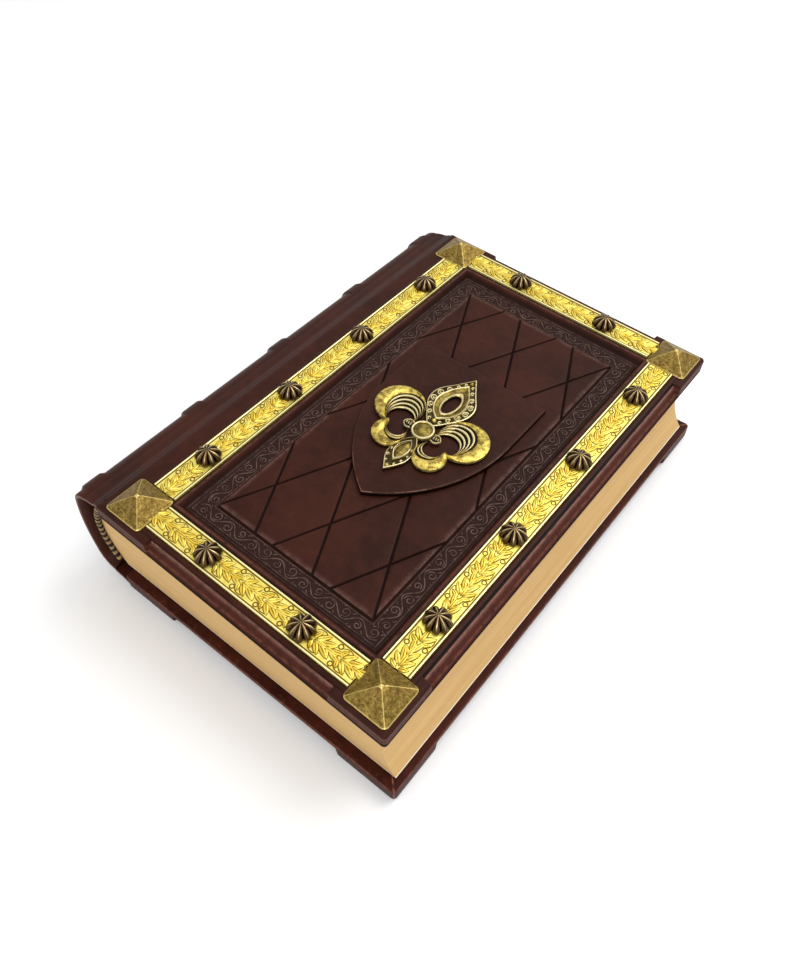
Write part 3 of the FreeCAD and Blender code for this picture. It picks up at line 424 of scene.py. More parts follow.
spine_leather = spine_paint()
stand_in(Skin().rows(spine_rows()).build("spine_skin", spine_leather), "spine_leather", "block")


# The leather of the joints
#
# The same leather as the spine's, pressed into the groove between the spine and each cover.
# It is glued to both. In the book it bends there when a cover opens; here each strip is one fixed piece.

FACE = 61.2
JOINT_EDGE = -67.85
LEATHER_THICK = 1.1
# The groove's outside, from the cover to the spine's shoulder: x, and depth under the cover's face
GROOVE = ((-67.3, 1.5), (-68.1, 1.62), (-69.0, 2.0), (-70.2, 2.6), (-71.4, 2.95), (-72.8, 3.12),
          (-74.2, 3.3), (-75.5, 3.55), (SHOULDER_X, 3.8))


def joint(name, upper):
    """The strip between the spine's shoulder and one cover, on the upper or lower side."""
    finer = np.linspace(0, len(GROOVE) - 1, 29)
    outside = np.column_stack([np.interp(finer, range(len(GROOVE)), part) for part in zip(*GROOVE)])
    for _ in range(3):
        outside[1:-1] = (outside[:-2] + 2 * outside[1:-1] + outside[2:]) / 4
    inside = outside + (0.0, LEATHER_THICK)
    face, sign = (FACE, -1) if upper else (0.0, 1)
    ends = [(SPINE_END, 0.5), (SPINE_END, 0.25), (122.3, 0.0)]
    stations = [(-y, share) for y, share in ends]
    stations += [(y, 0.0) for y in np.linspace(-121, 121, 60)] + ends[::-1]
    rows = []
    for y, share in stations:
        top = outside + (inside - outside) * share
        low = inside + (outside - inside) * share
        ring = np.concatenate([top, low[::-1]])
        rows.append(np.column_stack([ring[:, 0], np.full(len(ring), y), face + sign * ring[:, 1]]))
    piece = Skin().rows(rows, around=True).build(name + "_skin", spine_leather)
    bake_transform(piece)
    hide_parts(name)


joint("front_joint", True)
joint("back_joint", False)


# The boards and endpapers
#
# Each cover has a board. The front one carries a second board, cut out round the sunk panel, and
# the padding of its diamonds. A sheet of marbled brown paper is glued inside each cover.

def endpaper_paint():
    paint = Paint("endpaper")
    swirl = paint.noise(paint.spot, 45.0, 5.0, 0.7)
    vein = (swirl * 40.0).sine()
    colour = paint.mix(vein.step(-0.4, 0.9), tone(120, 84, 52), tone(188, 158, 112))
    return paint.finish(colour, 0.75, swirl, 0.00003)


endpaper = endpaper_paint()
for node in ("front_board", "frame_board", "field_padding", "back_board"):
    dress(node, board)
for node in ("front_pastedown", "back_pastedown"):
    dress(node, endpaper)


# The leather of the front cover
#
# One piece of dark calf, moulded over the boards and turned in on four sides. Its edges have
# bevels that stop short of the corners, and inside the frame lies a sunk panel with a bead, an
# embossed border of scrolls and a field of padded diamonds parted by pressed lines.

FRONT_EDGE = 86.95
FRONT_FALL = 7.8
COVER_HALF = 123.0
FRAME_MIDDLE = 11.8
# Half the sunk panel in x and y at its upper edge, half its field of diamonds, and its floor's height
WINDOW = (52.35, 100.3)
FIELD = (42.0, 89.95)
FLOOR = 58.0
# How far from a corner a loop's spots are shifted, and the radius of the cover's corners
CORNER_SPAN = 16.0
PLAN_ROUND = 1.8
# Where the bevels stop, in x at tail and head and in y at the fore-edge
STOPS = ((FRAME_MIDDLE - 49.15, FRAME_MIDDLE + 49.15), (-97.1, 97.1))
# Inset from the outline and depth under the face, round the edge: on a bevel, beyond its stops
# and along the joint
BEVEL = ((6.0, 0), (5.5, 0), (5.3, 0.04), (5.15, 0.2), (5.05, 0.55), (4.95, 0.95), (4.8, 1.2), (4.6, 1.3),
         (4.35, 1.32), (4.1, 1.45), (2.9, 2.85), (1.5, 4.5), (0.85, 5.25), (0.4, 5.8), (0.1, 6.3), (0, 6.9))
BLOCK = ((6.0, 0), (5.4, 0), (4.8, 0), (4.2, 0), (3.6, 0), (3.1, 0), (2.6, 0), (2.2, 0), (1.8, 0.02),
         (1.45, 0.09), (1.1, 0.22), (0.78, 0.42), (0.46, 0.72), (0.2, 1.1), (0.05, 1.55), (0, 2.1))
SOFT = ((6.0, 0), (5.6, 0), (5.2, 0), (4.8, 0), (4.3, 0.01), (3.8, 0.03), (3.3, 0.07), (2.8, 0.14),
        (2.3, 0.24), (1.8, 0.38), (1.4, 0.54), (1.0, 0.74), (0.65, 0.98), (0.35, 1.28), (0.12, 1.65),
        (0, 2.1))
# Inset, depth and inset at the joint, under the edge and up to the turned-in leather's end
UNDERSIDE = ((0, 7.9, 0), (0.12, 8.35, 0.12), (0.45, 8.7, 0.45), (0.9, 8.8, 0.9), (12.9, 8.8, 1.2),
             (13.0, 8.7, 1.2), (13.0, 7.6, 1.25))
HINGE = Vector((-69.35, 0.0, 60.4)) * MM
LEAN = Matrix.Rotation(math.atan(FRONT_FALL / (FRONT_EDGE - JOINT_EDGE)), 4, "Y")
LEAN = Matrix.Translation(HINGE) @ LEAN @ Matrix.Translation(-HINGE)


def on_front(piece, node, spot=(0.0, 0.0, 0.0)):
    """Let a piece take the place of a node of the front cover, and lean with it."""
    piece.matrix_world = LEAN @ Matrix.Translation(Vector(spot) * MM)
    stand_in(piece, node, "front_cover")


class Rim:
    """Spots round a cover's outline, from which loops are moved inwards."""

    def __init__(self, edge):
        self.low, self.high = (JOINT_EDGE, -COVER_HALF), (edge, COVER_HALF)
        steps = [self.spread(*ends) for ends in zip(self.low, self.high, STOPS)]
        sides = [steps[0][:-1], steps[1][:-1], steps[0][:0:-1], steps[1][:0:-1]]
        self.side = np.repeat(range(4), [len(along) for along in sides])
        self.along = np.concatenate(sides)
        low, high = np.array(STOPS)[self.side % 2].T
        beside = np.minimum(self.along - low, high - self.along)
        self.bevelled = np.where(self.side == 3, 0.0, smooth(beside / 1.1))

    def spread(self, low, high, stops):
        """Steps along one side, closer together at its ends and at the bevel's stops."""
        near = (0, 0.2, 0.45, 0.75, 1.1, 1.45, 1.8, 2.6, 4.0)
        steps = set(np.arange(low + 6, high - 5, 4.0))
        steps |= {low + step for step in near} | {high - step for step in near}
        for stop in stops:
            steps |= {stop + step for step in np.arange(-1.0, 2.6, 0.25)}
        return np.array(sorted(steps))

    def moved(self, along, low, high, low_inset, high_inset):
        """Where spots along a side lie on a loop that is moved in at both ends."""
        from_low = np.clip((low + CORNER_SPAN - along) / CORNER_SPAN, 0, 1)
        from_high = np.clip((along - high + CORNER_SPAN) / CORNER_SPAN, 0, 1)
        return along + low_inset * from_low - high_inset * from_high

    def loop(self, own, corner, depth, inner):
        """A loop moved in by own, by corner at the corners and by inner at the joint, at a depth."""
        x = self.moved(self.along, self.low[0], self.high[0], inner, corner)
        y = self.moved(self.along, self.low[1], self.high[1], corner, corner)
        x = np.choose(self.side, [x, self.high[0] - own, x, self.low[0] + inner])
        y = np.choose(self.side, [self.low[1] + own, y, self.high[1] - own, y])
        return self.rounded(np.column_stack([x, y])), np.broadcast_to(depth, x.shape)

    def rounded(self, flat):
        """The corners of a loop, drawn as arcs."""
        centre = np.clip(flat, np.add(self.low, PLAN_ROUND), np.subtract(self.high, PLAN_ROUND))
        off = flat - centre
        length = np.maximum(np.linalg.norm(off, axis=1), 1e-9)
        return centre + off * (np.abs(off).max(axis=1) / length)[:, None]

    def frame_loop(self, out, depth):
        """A loop round the sunk panel, out beyond its edges in x and y."""
        ends = zip(self.low, self.high)
        share_x, share_y = [(self.along - low) / (high - low) * 2 - 1 for low, high in ends]
        wide, tall = np.add(WINDOW, out)
        x = np.choose(self.side, [share_x * wide, wide, share_x * wide, -wide]) + FRAME_MIDDLE
        y = np.choose(self.side, [-tall, share_y * tall, tall, share_y * tall])
        return np.column_stack([x, y]), np.full(len(x), depth)

    def shell(self):
        """Loops of a cover's edge, from its outer face round the edge to inside the turn-in."""
        loops = []
        for (own, depth), (corner, stopped), (inner, soft) in zip(BEVEL, BLOCK, SOFT):
            inset = corner + (own - corner) * self.bevelled
            depths = np.where(self.side == 3, soft, stopped + (depth - stopped) * self.bevelled)
            loops.append(self.loop(inset, corner, depths, inner))
        return loops + [self.loop(inset, inset, depth, inner) for inset, depth, inner in UNDERSIDE]


def standing(loops, face, sign):
    """Loops as rows of points in space, for a face at that height."""
    return [np.column_stack([flat, face + sign * depth]) for flat, depth in loops]


# Out beyond the panel's edges in x and y, and depth: ridge, strip's bed, bead, wall, floor
FRAME_SECTION = (
    ((18.2, 19.0), 0.0), ((17.9, 18.7), 0.0), ((17.5, 18.3), -0.14), ((17.0, 17.8), -0.3),
    ((16.5, 17.3), -0.3), ((16.05, 16.85), -0.12), ((15.8, 16.6), 0.05), ((15.6, 16.4), 0.1),
    ((3.0, 3.8), 0.1), ((2.8, 3.55), 0.02), ((2.5, 3.2), -0.22), ((2.0, 2.6), -0.38), ((1.4, 1.8), -0.42),
    ((0.8, 1.05), -0.32), ((0.35, 0.45), -0.05), ((0.05, 0.1), 0.35), ((-0.3, -0.3), 0.95),
    ((-1.2, -1.2), 2.35), ((-1.65, -1.65), 2.9), ((-1.95, -1.95), 3.12), ((-2.3, -2.3), 3.2),
    ((-9.9, -9.9), 3.2), ((-10.35, -10.35), 3.25),
)


def clipped(points, spot, normal):
    """The part of a flat outline on the side of a line that its normal leaves."""
    kept = []
    for number, point in enumerate(points):
        before = points[number - 1]
        here = (point - spot) @ normal
        there = (before - spot) @ normal
        if (here < 0) != (there < 0):
            kept.append(before + (point - before) * (there / (there - here)))
        if here < 0:
            kept.append(point)
    return kept


def diamond(column, row, inset):
    """One diamond of the lattice, clipped by the field and moved in by inset."""
    wide, tall = FIELD
    outline = [np.array(p, float) for p in ((-wide, -tall), (wide, -tall), (wide, tall), (-wide, tall))]
    lines = []
    for sign, number in ((1, column), (-1, row)):
        outward = np.array((1.0, -sign * wide / tall)) / math.hypot(1.0, wide / tall)
        lines += [((LATTICE * number, 0.0), -outward), ((LATTICE * (number + 1), 0.0), outward)]
    for facing in np.array(((1.0, 0.0), (-1.0, 0.0), (0.0, 1.0), (0.0, -1.0))):
        lines.append((facing * FIELD, facing))
    for spot, facing in lines:
        outline = clipped(outline, spot - facing * inset, facing)
        if len(outline) < 3:
            return None
    return outline


LATTICE = 31.1
# Inset from the lattice's line and height over the panel's floor
PAD_SECTION = ((0.12, 0.15), (0.3, 0.28), (0.42, 0.62), (0.52, 0.96), (0.68, 1.14), (0.95, 1.23),
               (1.5, 1.29))
PAD_TOP = 1.36


def pads(skin):
    """The padded diamonds, and the halves of diamonds along the field's edges."""
    for column in range(-4, 4):
        for row in range(-4, 4):
            outlines = [diamond(column, row, inset) for inset, high in PAD_SECTION]
            if any(outline is None or len(outline) != len(outlines[0]) for outline in outlines):
                continue
            rows = []
            for outline, (inset, high) in zip(outlines, PAD_SECTION):
                rows.append([(FRAME_MIDDLE + p[0], p[1], FLOOR + high) for p in outline])
            last = np.array(rows[-1])
            middle = np.mean(last, axis=0) + (0.0, 0.0, PAD_TOP - PAD_SECTION[-1][1])
            rows += [last + (middle - last) * share for share in (0.25, 0.6, 0.9)]
            skin.rows(rows, around=True, high_end=True)


def raised(flat, height):
    """Flat points, set at a height."""
    return np.column_stack([flat, np.full(len(flat), height)])


def ridge(skin, path, half, high, up=(0.0, 0.0, 1.0), closed=False, taper=0.0):
    """A raised line with a rounded top along a path. It thins out at its ends over the taper."""
    path = np.asarray(path, float)
    if closed:
        along = np.roll(path, -1, axis=0) - np.roll(path, 1, axis=0)
    else:
        along = np.gradient(path, axis=0)
    along /= np.linalg.norm(along, axis=1)[:, None]
    up = np.array(up, float)
    aside = np.cross(up, along)
    aside /= np.linalg.norm(aside, axis=1)[:, None]
    size = np.ones(len(path))
    if taper:
        travel = travelled(path)
        size = 0.15 + 0.85 * smooth(np.minimum(travel, travel[-1] - travel) / taper)
    columns = []
    for angle in np.linspace(0, math.pi, 6):
        lift = up * (high * math.sin(angle) - 0.05)
        columns.append(path + aside * (half * math.cos(angle) * size)[:, None] + lift * size[:, None])
    skin.rows(columns, around=closed)


def spiral(centre, start, turns, radius, steps=26):
    """A curl that winds in to its centre, from its outer end."""
    angles = start + np.linspace(0, turns * 2 * math.pi, steps)
    return circled(centre, np.linspace(1.0, 0.15, steps) * radius, angles)


def curve(places, steps):
    """A smooth curve through a few places, at even steps."""
    places = np.array(places, float)
    places = np.concatenate([[2 * places[0] - places[1]], places, [2 * places[-1] - places[-2]]])
    points = []
    for number in range(1, len(places) - 2):
        a, b, c, d = places[number - 1:number + 3]
        for t in np.linspace(0, 1, 24, endpoint=False):
            points.append(0.5 * (2 * b + (c - a) * t + (2 * a - 5 * b + 4 * c - d) * t * t
                                 + (3 * b - a - 3 * c + d) * t ** 3))
    points.append(places[-2])
    travel = travelled(points)
    along = np.linspace(0, travel[-1], steps)
    return np.column_stack([np.interp(along, travel, part) for part in zip(*points)])


# How far the panel's wall slopes in, and by how much the scrolls run on at its short sides and
# stop short at its long ones
WALL_RUN = 2.3
CORNER_GAP = 5.2
SCROLL_TALL = 0.36
VINE_PITCH = 14.2
# The thin lines beside the scrolls: half sizes, and a section outwards and up
THIN_LINES = ((FIELD[0] + 0.75, FIELD[1] + 0.75), (WINDOW[0] - 3.0, WINDOW[1] - 3.0))
THIN_SECTION = ((0.3, -0.02), (0.2, 0.2), (0.0, 0.28), (-0.2, 0.2), (-0.3, -0.02))
# The strokes that spring from each half wave: half width, and places along and across
STROKES = ((0.36, ((2.4, 1.1), (3.2, 2.3), (4.6, 3.0))), (0.34, ((-2.6, 2.3), (-1.5, 3.1), (-0.2, 3.3))),
           (0.32, ((1.4, 3.3), (2.4, 3.2), (3.1, 2.7))), (0.32, ((-3.9, 3.4), (-3.2, 2.6), (-3.4, 1.8))))


def vine_side(length):
    """Lines of the scroll border along one side, from its middle, with x along it and y across."""
    waves = round(length / VINE_PITCH)
    pitch = length / waves
    stem_x = np.linspace(-length / 2, length / 2, waves * 16 + 1)
    turn = 2 * math.pi / pitch
    swing = 2.2 + 0.3 * np.sin(stem_x * 0.41)
    lines = [(np.column_stack([stem_x, swing * np.sin((stem_x + length / 2) * turn)]), 0.42)]
    for number in range(2 * waves):
        middle = -length / 2 + (number + 0.5) * pitch / 2
        side = 1 if number % 2 else -1
        curl = 2.3 if number % 3 else 1.8
        lines.append((spiral((middle, side * 0.8), -side * 2.2, side * 1.5, curl), 0.38))
        for half, places in STROKES:
            lines.append((curve([(middle + x, side * y) for x, y in places], 7), half))
        lines.append((spiral((middle - 4.6, side * 3.0), 0, 1, 0.4, 9), 0.25))
    return lines


def vine(skin):
    """The embossed scrolls, with a thin line at each side of them."""
    wide, tall = [(field + window - WALL_RUN) / 2 for field, window in zip(FIELD, WINDOW)]
    sides = ((tall, 2 * wide + CORNER_GAP), (wide, 2 * tall - CORNER_GAP)) * 2
    for turn, (across, length) in enumerate(sides):
        angle = turn * math.pi / 2
        for line, half in vine_side(length):
            x = line[:, 0] * math.cos(angle) - (line[:, 1] - across) * math.sin(angle)
            y = line[:, 0] * math.sin(angle) + (line[:, 1] - across) * math.cos(angle)
            path = raised(np.column_stack([x + FRAME_MIDDLE, y]), FLOOR)
            ridge(skin, path, half, SCROLL_TALL, taper=0.8)
    for wide, tall in THIN_LINES:
        corners = np.array([(-wide, -tall), (wide, -tall), (wide, tall), (-wide, tall)])
        rows = []
        for out, high in THIN_SECTION:
            rows.append(raised(corners + np.sign(corners) * out + (FRAME_MIDDLE, 0.0), FLOOR + high))
        skin.rows(rows, around=True)


def front_paint():
    """The leather, greyer in the border, with painted shade in pressed lines and hollows and painted
    highlights on raised edges.
    """
    paint = Leather("front_leather_paint", 0.2)
    x, y, z = paint.axes(paint.spot)
    wear_and_sheen = paint.noise(paint.spot, 330.0, 4.0, 0.7)
    # The border's darker ground and a painted highlight on its scrolls, painted shade in the lines
    # between the diamonds, and a painted highlight mixed with rubbed wear on the outer diamonds' edge
    across = abs(x - FRAME_MIDDLE * MM)
    beside = (across - FIELD[0] * MM).larger(abs(y) - FIELD[1] * MM)
    up = z - FLOOR * MM
    border = beside.step(0.0003, 0.0007) * (1 - up.step(0.0006, 0.001))
    paint.lay_tone(border * 0.8, 40, 24, 20)
    paint.lay_tone(border * up.step(0.00012, 0.0003) * (0.3 + wear_and_sheen.step(0.4, 0.6) * 0.7), 98, 76, 70)
    inside = 1 - beside.step(-0.0002, 0.0002)
    paint.lay_tone(inside * (1 - up.step(0.0003, 0.0009)), 24, 14, 12)
    rim_sheen_and_wear = beside.step(-0.0032, -0.0004) * inside * up.step(0.0009, 0.0012)
    paint.lay_tone(rim_sheen_and_wear * wear_and_sheen.step(0.25, 0.65) * 0.6, 108, 80, 72)
    # Painted shade in the groove above each bevel
    inset = (COVER_HALF * MM - abs(y)).smaller(FRONT_EDGE * MM - x)
    down = FACE * MM - z
    paint.lay_tone(inset.band(0.0038, 0.0041, 0.0053, 0.0055) * down.step(0.0001, 0.0003), 12, 4, 3)
    # Painted shade beside the strip, a painted highlight on top of the bead and painted shade down the
    # panel's wall
    beyond = (across - WINDOW[0] * MM).larger(abs(y) - (WINDOW[1] + 0.3) * MM)
    paint.lay_tone(beyond.band(0.0021, 0.0025, 0.003, 0.0032) * 0.8, 20, 9, 7)
    bead_highlight = beyond.band(0.0006, 0.0011, 0.0015, 0.002)
    paint.lay_tone(bead_highlight * wear_and_sheen.step(0.3, 0.6) * 0.5, 108, 68, 56)
    paint.lay_tone(beyond.band(-0.0022, -0.0018, -0.0007, 0.0) * 0.6, 24, 11, 8)
    # The bevel rubbed redder, painted highlights on the upper side of its raised line and on its lower lip,
    # and painted shade on the edge under it
    slope = (1 - inset.step(0.0038, 0.0041)) * down.step(0.0011, 0.0014)
    paint.lay_tone(slope * (1 - down.step(0.0055, 0.0065)) * (0.3 + wear_and_sheen.step(0.35, 0.65) * 0.35), 88, 38, 24)
    paint.lay_tone(slope * inset.step(0.0031, 0.0035) * (0.3 + wear_and_sheen.step(0.3, 0.55) * 0.5), 140, 100, 86)
    lip_highlight = slope * down.band(0.0044, 0.0048, 0.0051, 0.0055)
    paint.lay_tone(lip_highlight * wear_and_sheen.step(0.3, 0.6) * 0.5, 118, 74, 60)
    paint.lay_tone(down.step(0.0055, 0.007) * 0.8, 16, 7, 5)
    paint.rough = paint.rough + down.step(0.0015, 0.004) * 0.2 + down.step(0.0055, 0.0065) * 0.3
    return paint.done()


# The bevel's run and fall, its upper end's inset and depth, and its line's insets and ends
BEVEL_RUN = 3.25
BEVEL_FALL = 3.8
BEVEL_TOP = (4.1, 1.45)
LINE_INSETS = (3.6, 1.0)
LINE_STOP = 5.0


def bevel_line(skin):
    """A thin raised line that runs round each sloping face."""
    for side, (low, high) in enumerate((STOPS[0], STOPS[1], STOPS[0])):
        ends = (low + LINE_STOP, high - LINE_STOP)
        ring = [(end, LINE_INSETS[0]) for end in ends] + [(end, LINE_INSETS[1]) for end in ends[::-1]]
        path = []
        for number, corner in enumerate(ring):
            after = ring[(number + 1) % 4]
            for share in np.linspace(0, 1, 5 if number % 2 else 60, endpoint=False):
                path.append([a + (b - a) * share for a, b in zip(corner, after)])
        along, inset = np.array(path).T
        height = FACE - BEVEL_TOP[1] - (BEVEL_TOP[0] - inset) * BEVEL_FALL / BEVEL_RUN
        if side == 1:
            place, up = (FRONT_EDGE - inset, along, height), (BEVEL_FALL, 0.0, BEVEL_RUN)
        else:
            sign = side - 1
            place, up = (along, sign * (COVER_HALF - inset), height), (0.0, sign * BEVEL_FALL, BEVEL_RUN)
        ridge(skin, np.column_stack(place), 0.3, 0.26, np.array(up) / math.hypot(*up), closed=True)


front_rim = Rim(FRONT_EDGE)
edge_loops = front_rim.shell()
frame_loops = [edge_loops[0]] + [front_rim.frame_loop(out, depth) for out, depth in FRAME_SECTION]
skin = Skin().rows(standing(edge_loops, FACE, -1), around=True)
skin.rows(standing(frame_loops, FACE, -1), around=True, high_end=True)
pads(skin)
vine(skin)
bevel_line(skin)
on_front(skin.build("front_skin", front_paint(), 60.0), "front_leather")


# The leather of the back cover
#
# The same leather with the same stopped bevels and a plain flat face, which lies on the table.
# It shows redder than the front, and its corners are rubbed.

BACK_EDGE = 89.85


def back_paint():
    """The leather, rubbed at tail and head and at the corners' mitred folds, with a painted highlight along
    its upper edge.
    """
    paint = Leather("back_leather_paint", 0.8)
    x, y, z = paint.axes(paint.spot)
    wear_and_sheen = paint.noise(paint.spot, 420.0, 4.0, 0.7)
    ends = abs(y).step((COVER_HALF - 3.0) * MM, (COVER_HALF - 2.0) * MM)
    paint.lay_tone(ends * wear_and_sheen.step(0.5, 0.75) * 0.4, 104, 58, 40)
    # A painted highlight along the rounded upper edge, broken up by noise
    roll = z.band(0.0075, 0.0081, 0.0084, 0.0087)
    paint.lay_tone(roll * (0.2 + wear_and_sheen.step(0.35, 0.6) * 0.5), 126, 74, 56)
    to_edge = BACK_EDGE * MM - x
    mitre = abs(to_edge - (COVER_HALF * MM - abs(y)))
    fold = (1 - mitre.step(0.0001, 0.0007)) * (1 - to_edge.step(0.004, 0.009))
    paint.lay_tone(fold * wear_and_sheen.step(0.35, 0.5), 128, 78, 56)
    return paint.done()


skin = Skin().rows(standing(Rim(BACK_EDGE).shell(), 0.0, 1), around=True, low_end=True)
stand_in(skin.build("back_skin", back_paint(), 60.0), "back_leather", "back_cover")


# The stamped strips
#
# Four strips of thin bright brass, held along the frame by the studs. Each is stamped with a
# garland of laurel leaves in groups, with ring berries on curved stems at both sides, and has a
# pale border, painted as a highlight, outside one dark line of painted shade along each edge.

STRIP_THICK = 0.7
# The strips' middles: out from the frame's middle in x, and from the book's middle in y
STRIP_REACH = 61.65
STRIP_END_REACH = 110.4
# The corner pieces' middles, and how far from them the strips end
CORNER_Y = 111.0
CORNER_X = (-52.85, 75.15)
STRIP_CLEAR = 10.6
# One group of leaves every pitch, bare ends, and what leaves and berries keep clear of a stud's middle
LEAF_PITCH = 12.5
GROUP_START = 3.9
BARE_ENDS = 6.5
LEAF_CLEAR = 5.6
BERRY_CLEAR = 7.2
# Half of a strip's cross-section, across and up
STRIP_EDGE = ((6.4, 0.0), (6.4, 0.85), (6.3, 1.02), (5.95, 1.1), (5.7, 1.0), (5.55, 0.8), (5.1, 0.8),
              (5.0, 0.7))
# One group's leaves: root along and across, angle, length, width and height. Those at an angle
# grow on both sides, and the two at none lie along the middle.
LEAVES = ((-2.6, 0.4, 64, 4.4, 2.5, 0.5), (-1.2, 0.3, 44, 6.2, 3.0, 0.55), (0.8, 0.3, 26, 7.4, 2.8, 0.5),
          (3.8, 0.4, 40, 4.4, 2.3, 0.5), (5.6, 0.2, 17, 6.6, 2.5, 0.55), (-1.8, 0.0, 0, 6.8, 2.4, 0.62),
          (3.4, 0.0, 0, 6.6, 2.4, 0.62))
# Half of a leaf's cross-section, from its low foot, painted dark as shade, to the vein: share across, and
# share of its height
LEAF_SECTION = ((1.0, 0.0), (0.86, 0.2), (0.72, 0.3), (0.6, 0.75), (0.4, 0.95), (0.2, 0.9), (0.0, 0.3))
# A berry in its group, its radius, and its stem from its own x and from the strip's middle
BERRY = (8.6, 3.75)
BERRY_RADIUS = 0.95
BERRY_STEM = ((1.2, 3.6), (2.6, 4.5), (4.8, 4.55), (6.4, 3.6))


def stamped_paint():
    paint = Paint("stamped_brass")
    x, y, z = paint.axes(paint.spot)
    up = z - (FACE + STRIP_THICK) * MM
    wear_and_sheen = paint.noise(paint.spot, 260.0, 4.0, 0.7)
    # The leaves' painted shading: darker amber low down and lighter high up, with painted highlights broken
    # up by noise
    leaf = paint.mix(up.step(0.00022, 0.00052), tone(202, 168, 44), tone(238, 208, 80))
    leaf = paint.mix(wear_and_sheen.step(0.45, 0.6) * 0.75, leaf, tone(252, 236, 122))
    plate = paint.mix(wear_and_sheen.step(0.4, 0.7), tone(240, 220, 100), tone(252, 241, 136))
    # Painted shade at the foot of whatever rises from the plate, which also draws the dark line along each
    # edge
    colour = paint.mix(up.step(0.00001, 0.00006), plate, tone(112, 80, 16))
    colour = paint.mix(up.step(0.00015, 0.00024), colour, leaf)
    # The raised border along each edge is painted pale as a highlight
    from_side = abs(abs(x - FRAME_MIDDLE * MM) - STRIP_REACH * MM)
    from_end = abs(abs(y) - STRIP_END_REACH * MM)
    border = from_side.smaller(from_end).step(0.0055, 0.0058)
    colour = paint.mix(border * up.step(0.0001, 0.0002), colour, tone(255, 246, 176))
    return paint.finish(colour, 0.26 + wear_and_sheen * 0.14, wear_and_sheen, 0.0001, metal=0.7)


def arc(centre, radius, start, stop, steps):
    """Points along an arc, from one angle in degrees to another."""
    return circled(centre, radius, np.radians(np.linspace(start, stop, steps)))


def stamped_leaf(skin, root, angle, length, width, high):
    """One laurel leaf, pointed at both ends."""
    section = [(-across, rise) for across, rise in LEAF_SECTION] + list(LEAF_SECTION[-2::-1])
    rows = []
    for share in np.linspace(0.0, 1.0, 9):
        half = width / 2 * math.sin(math.pi * share ** 0.8) ** 0.7 if 0 < share < 1 else 0.0
        swell = math.sin(math.pi * share) ** 0.4 if 0 < share < 1 else 0.0
        row = []
        for across, rise in section:
            x = root[0] + length * share * math.cos(angle) - half * across * math.sin(angle)
            y = root[1] + length * share * math.sin(angle) + half * across * math.cos(angle)
            row.append((x, y, STRIP_THICK + high * rise * swell - 0.01))
        rows.append(row)
    skin.rows(rows)


def strip_skin(length, seats):
    """A strip along x, about its own middle, bare where the studs sit."""
    def clear(x, y, reach):
        return all(math.hypot(x - seat, y) > reach for seat in seats)

    skin = Skin()
    section = [(-y, z) for y, z in STRIP_EDGE] + list(STRIP_EDGE[::-1])
    rows = [[(-length / 2, y, z), (length / 2, y, z)] for y, z in section]
    skin.rows(rows)
    for end in (0, 1):
        skin.add([row[end] for row in rows], [range(len(rows))])
    count = int((length - BARE_ENDS) / LEAF_PITCH) + 1
    for number in range(count):
        start = (number - (count - 1) / 2) * LEAF_PITCH - GROUP_START
        for x, y, turn, long, wide, high in LEAVES:
            for side in (-1, 1) if turn else (1,):
                angle = math.radians(side * turn)
                middle = (start + x + long / 2 * math.cos(angle), side * y + long / 2 * math.sin(angle))
                if clear(*middle, LEAF_CLEAR):
                    stamped_leaf(skin, (start + x, side * y), angle, long, wide, high)
        for side in (-1, 1):
            berry = (start + BERRY[0] - side * 0.6, side * BERRY[1])
            if clear(*berry, BERRY_CLEAR):
                circle = arc(berry, BERRY_RADIUS, 0, 330, 14)
                ridge(skin, raised(circle, STRIP_THICK), 0.32, 0.22, closed=True)
            stem = [(berry[0] + x, side * y) for x, y in BERRY_STEM]
            if clear(*stem[1], BERRY_CLEAR) and abs(stem[-1][0]) < length / 2 - 1:
                ridge(skin, raised(curve(stem, 11), STRIP_THICK), 0.24, 0.2)
    return skin


def strip(name, middle, length, seats, upright):
    """One strip in its place on the frame, turned upright at spine and fore-edge."""
    skin = strip_skin(length, seats)
    turn = np.array(Matrix.Rotation(math.pi / 2 if upright else 0.0, 3, "Z")).T
    skin.points = [points @ turn + (*middle, FACE) for points in skin.points]
    on_front(skin.build(name + "_brass", stamped), name)


stamped = stamped_paint()
SHORT_MIDDLE = sum(CORNER_X) / 2
LONG_SEATS = [50.6 * number for number in (-1.5, -0.5, 0.5, 1.5)]
SHORT_SEATS = [FRAME_MIDDLE - SHORT_MIDDLE + 25.0 * number for number in (-1, 1)]
LONG_STRIP = 2 * (CORNER_Y - STRIP_CLEAR)
SHORT_STRIP = 2 * (CORNER_X[1] - STRIP_CLEAR - SHORT_MIDDLE)
for name, sign in (("strip_spine", -1), ("strip_fore", 1)):
    strip(name, (FRAME_MIDDLE + sign * STRIP_REACH, 0), LONG_STRIP, LONG_SEATS, True)
for name, sign in (("strip_tail", -1), ("strip_head", 1)):
    strip(name, (SHORT_MIDDLE, sign * STRIP_END_REACH), SHORT_STRIP, SHORT_SEATS, False)


# The corner pieces
#
# Four cast brass pyramids on a low rim, each held by one nail. The faces are finely pitted and
# have gone brown, and the ridges, rims and knobs carry a painted highlight.

CORNER_TALL = 6.8
FOOT_TALL = 0.9
FACE_HALF = 9.5
TIP_HALF = 0.45


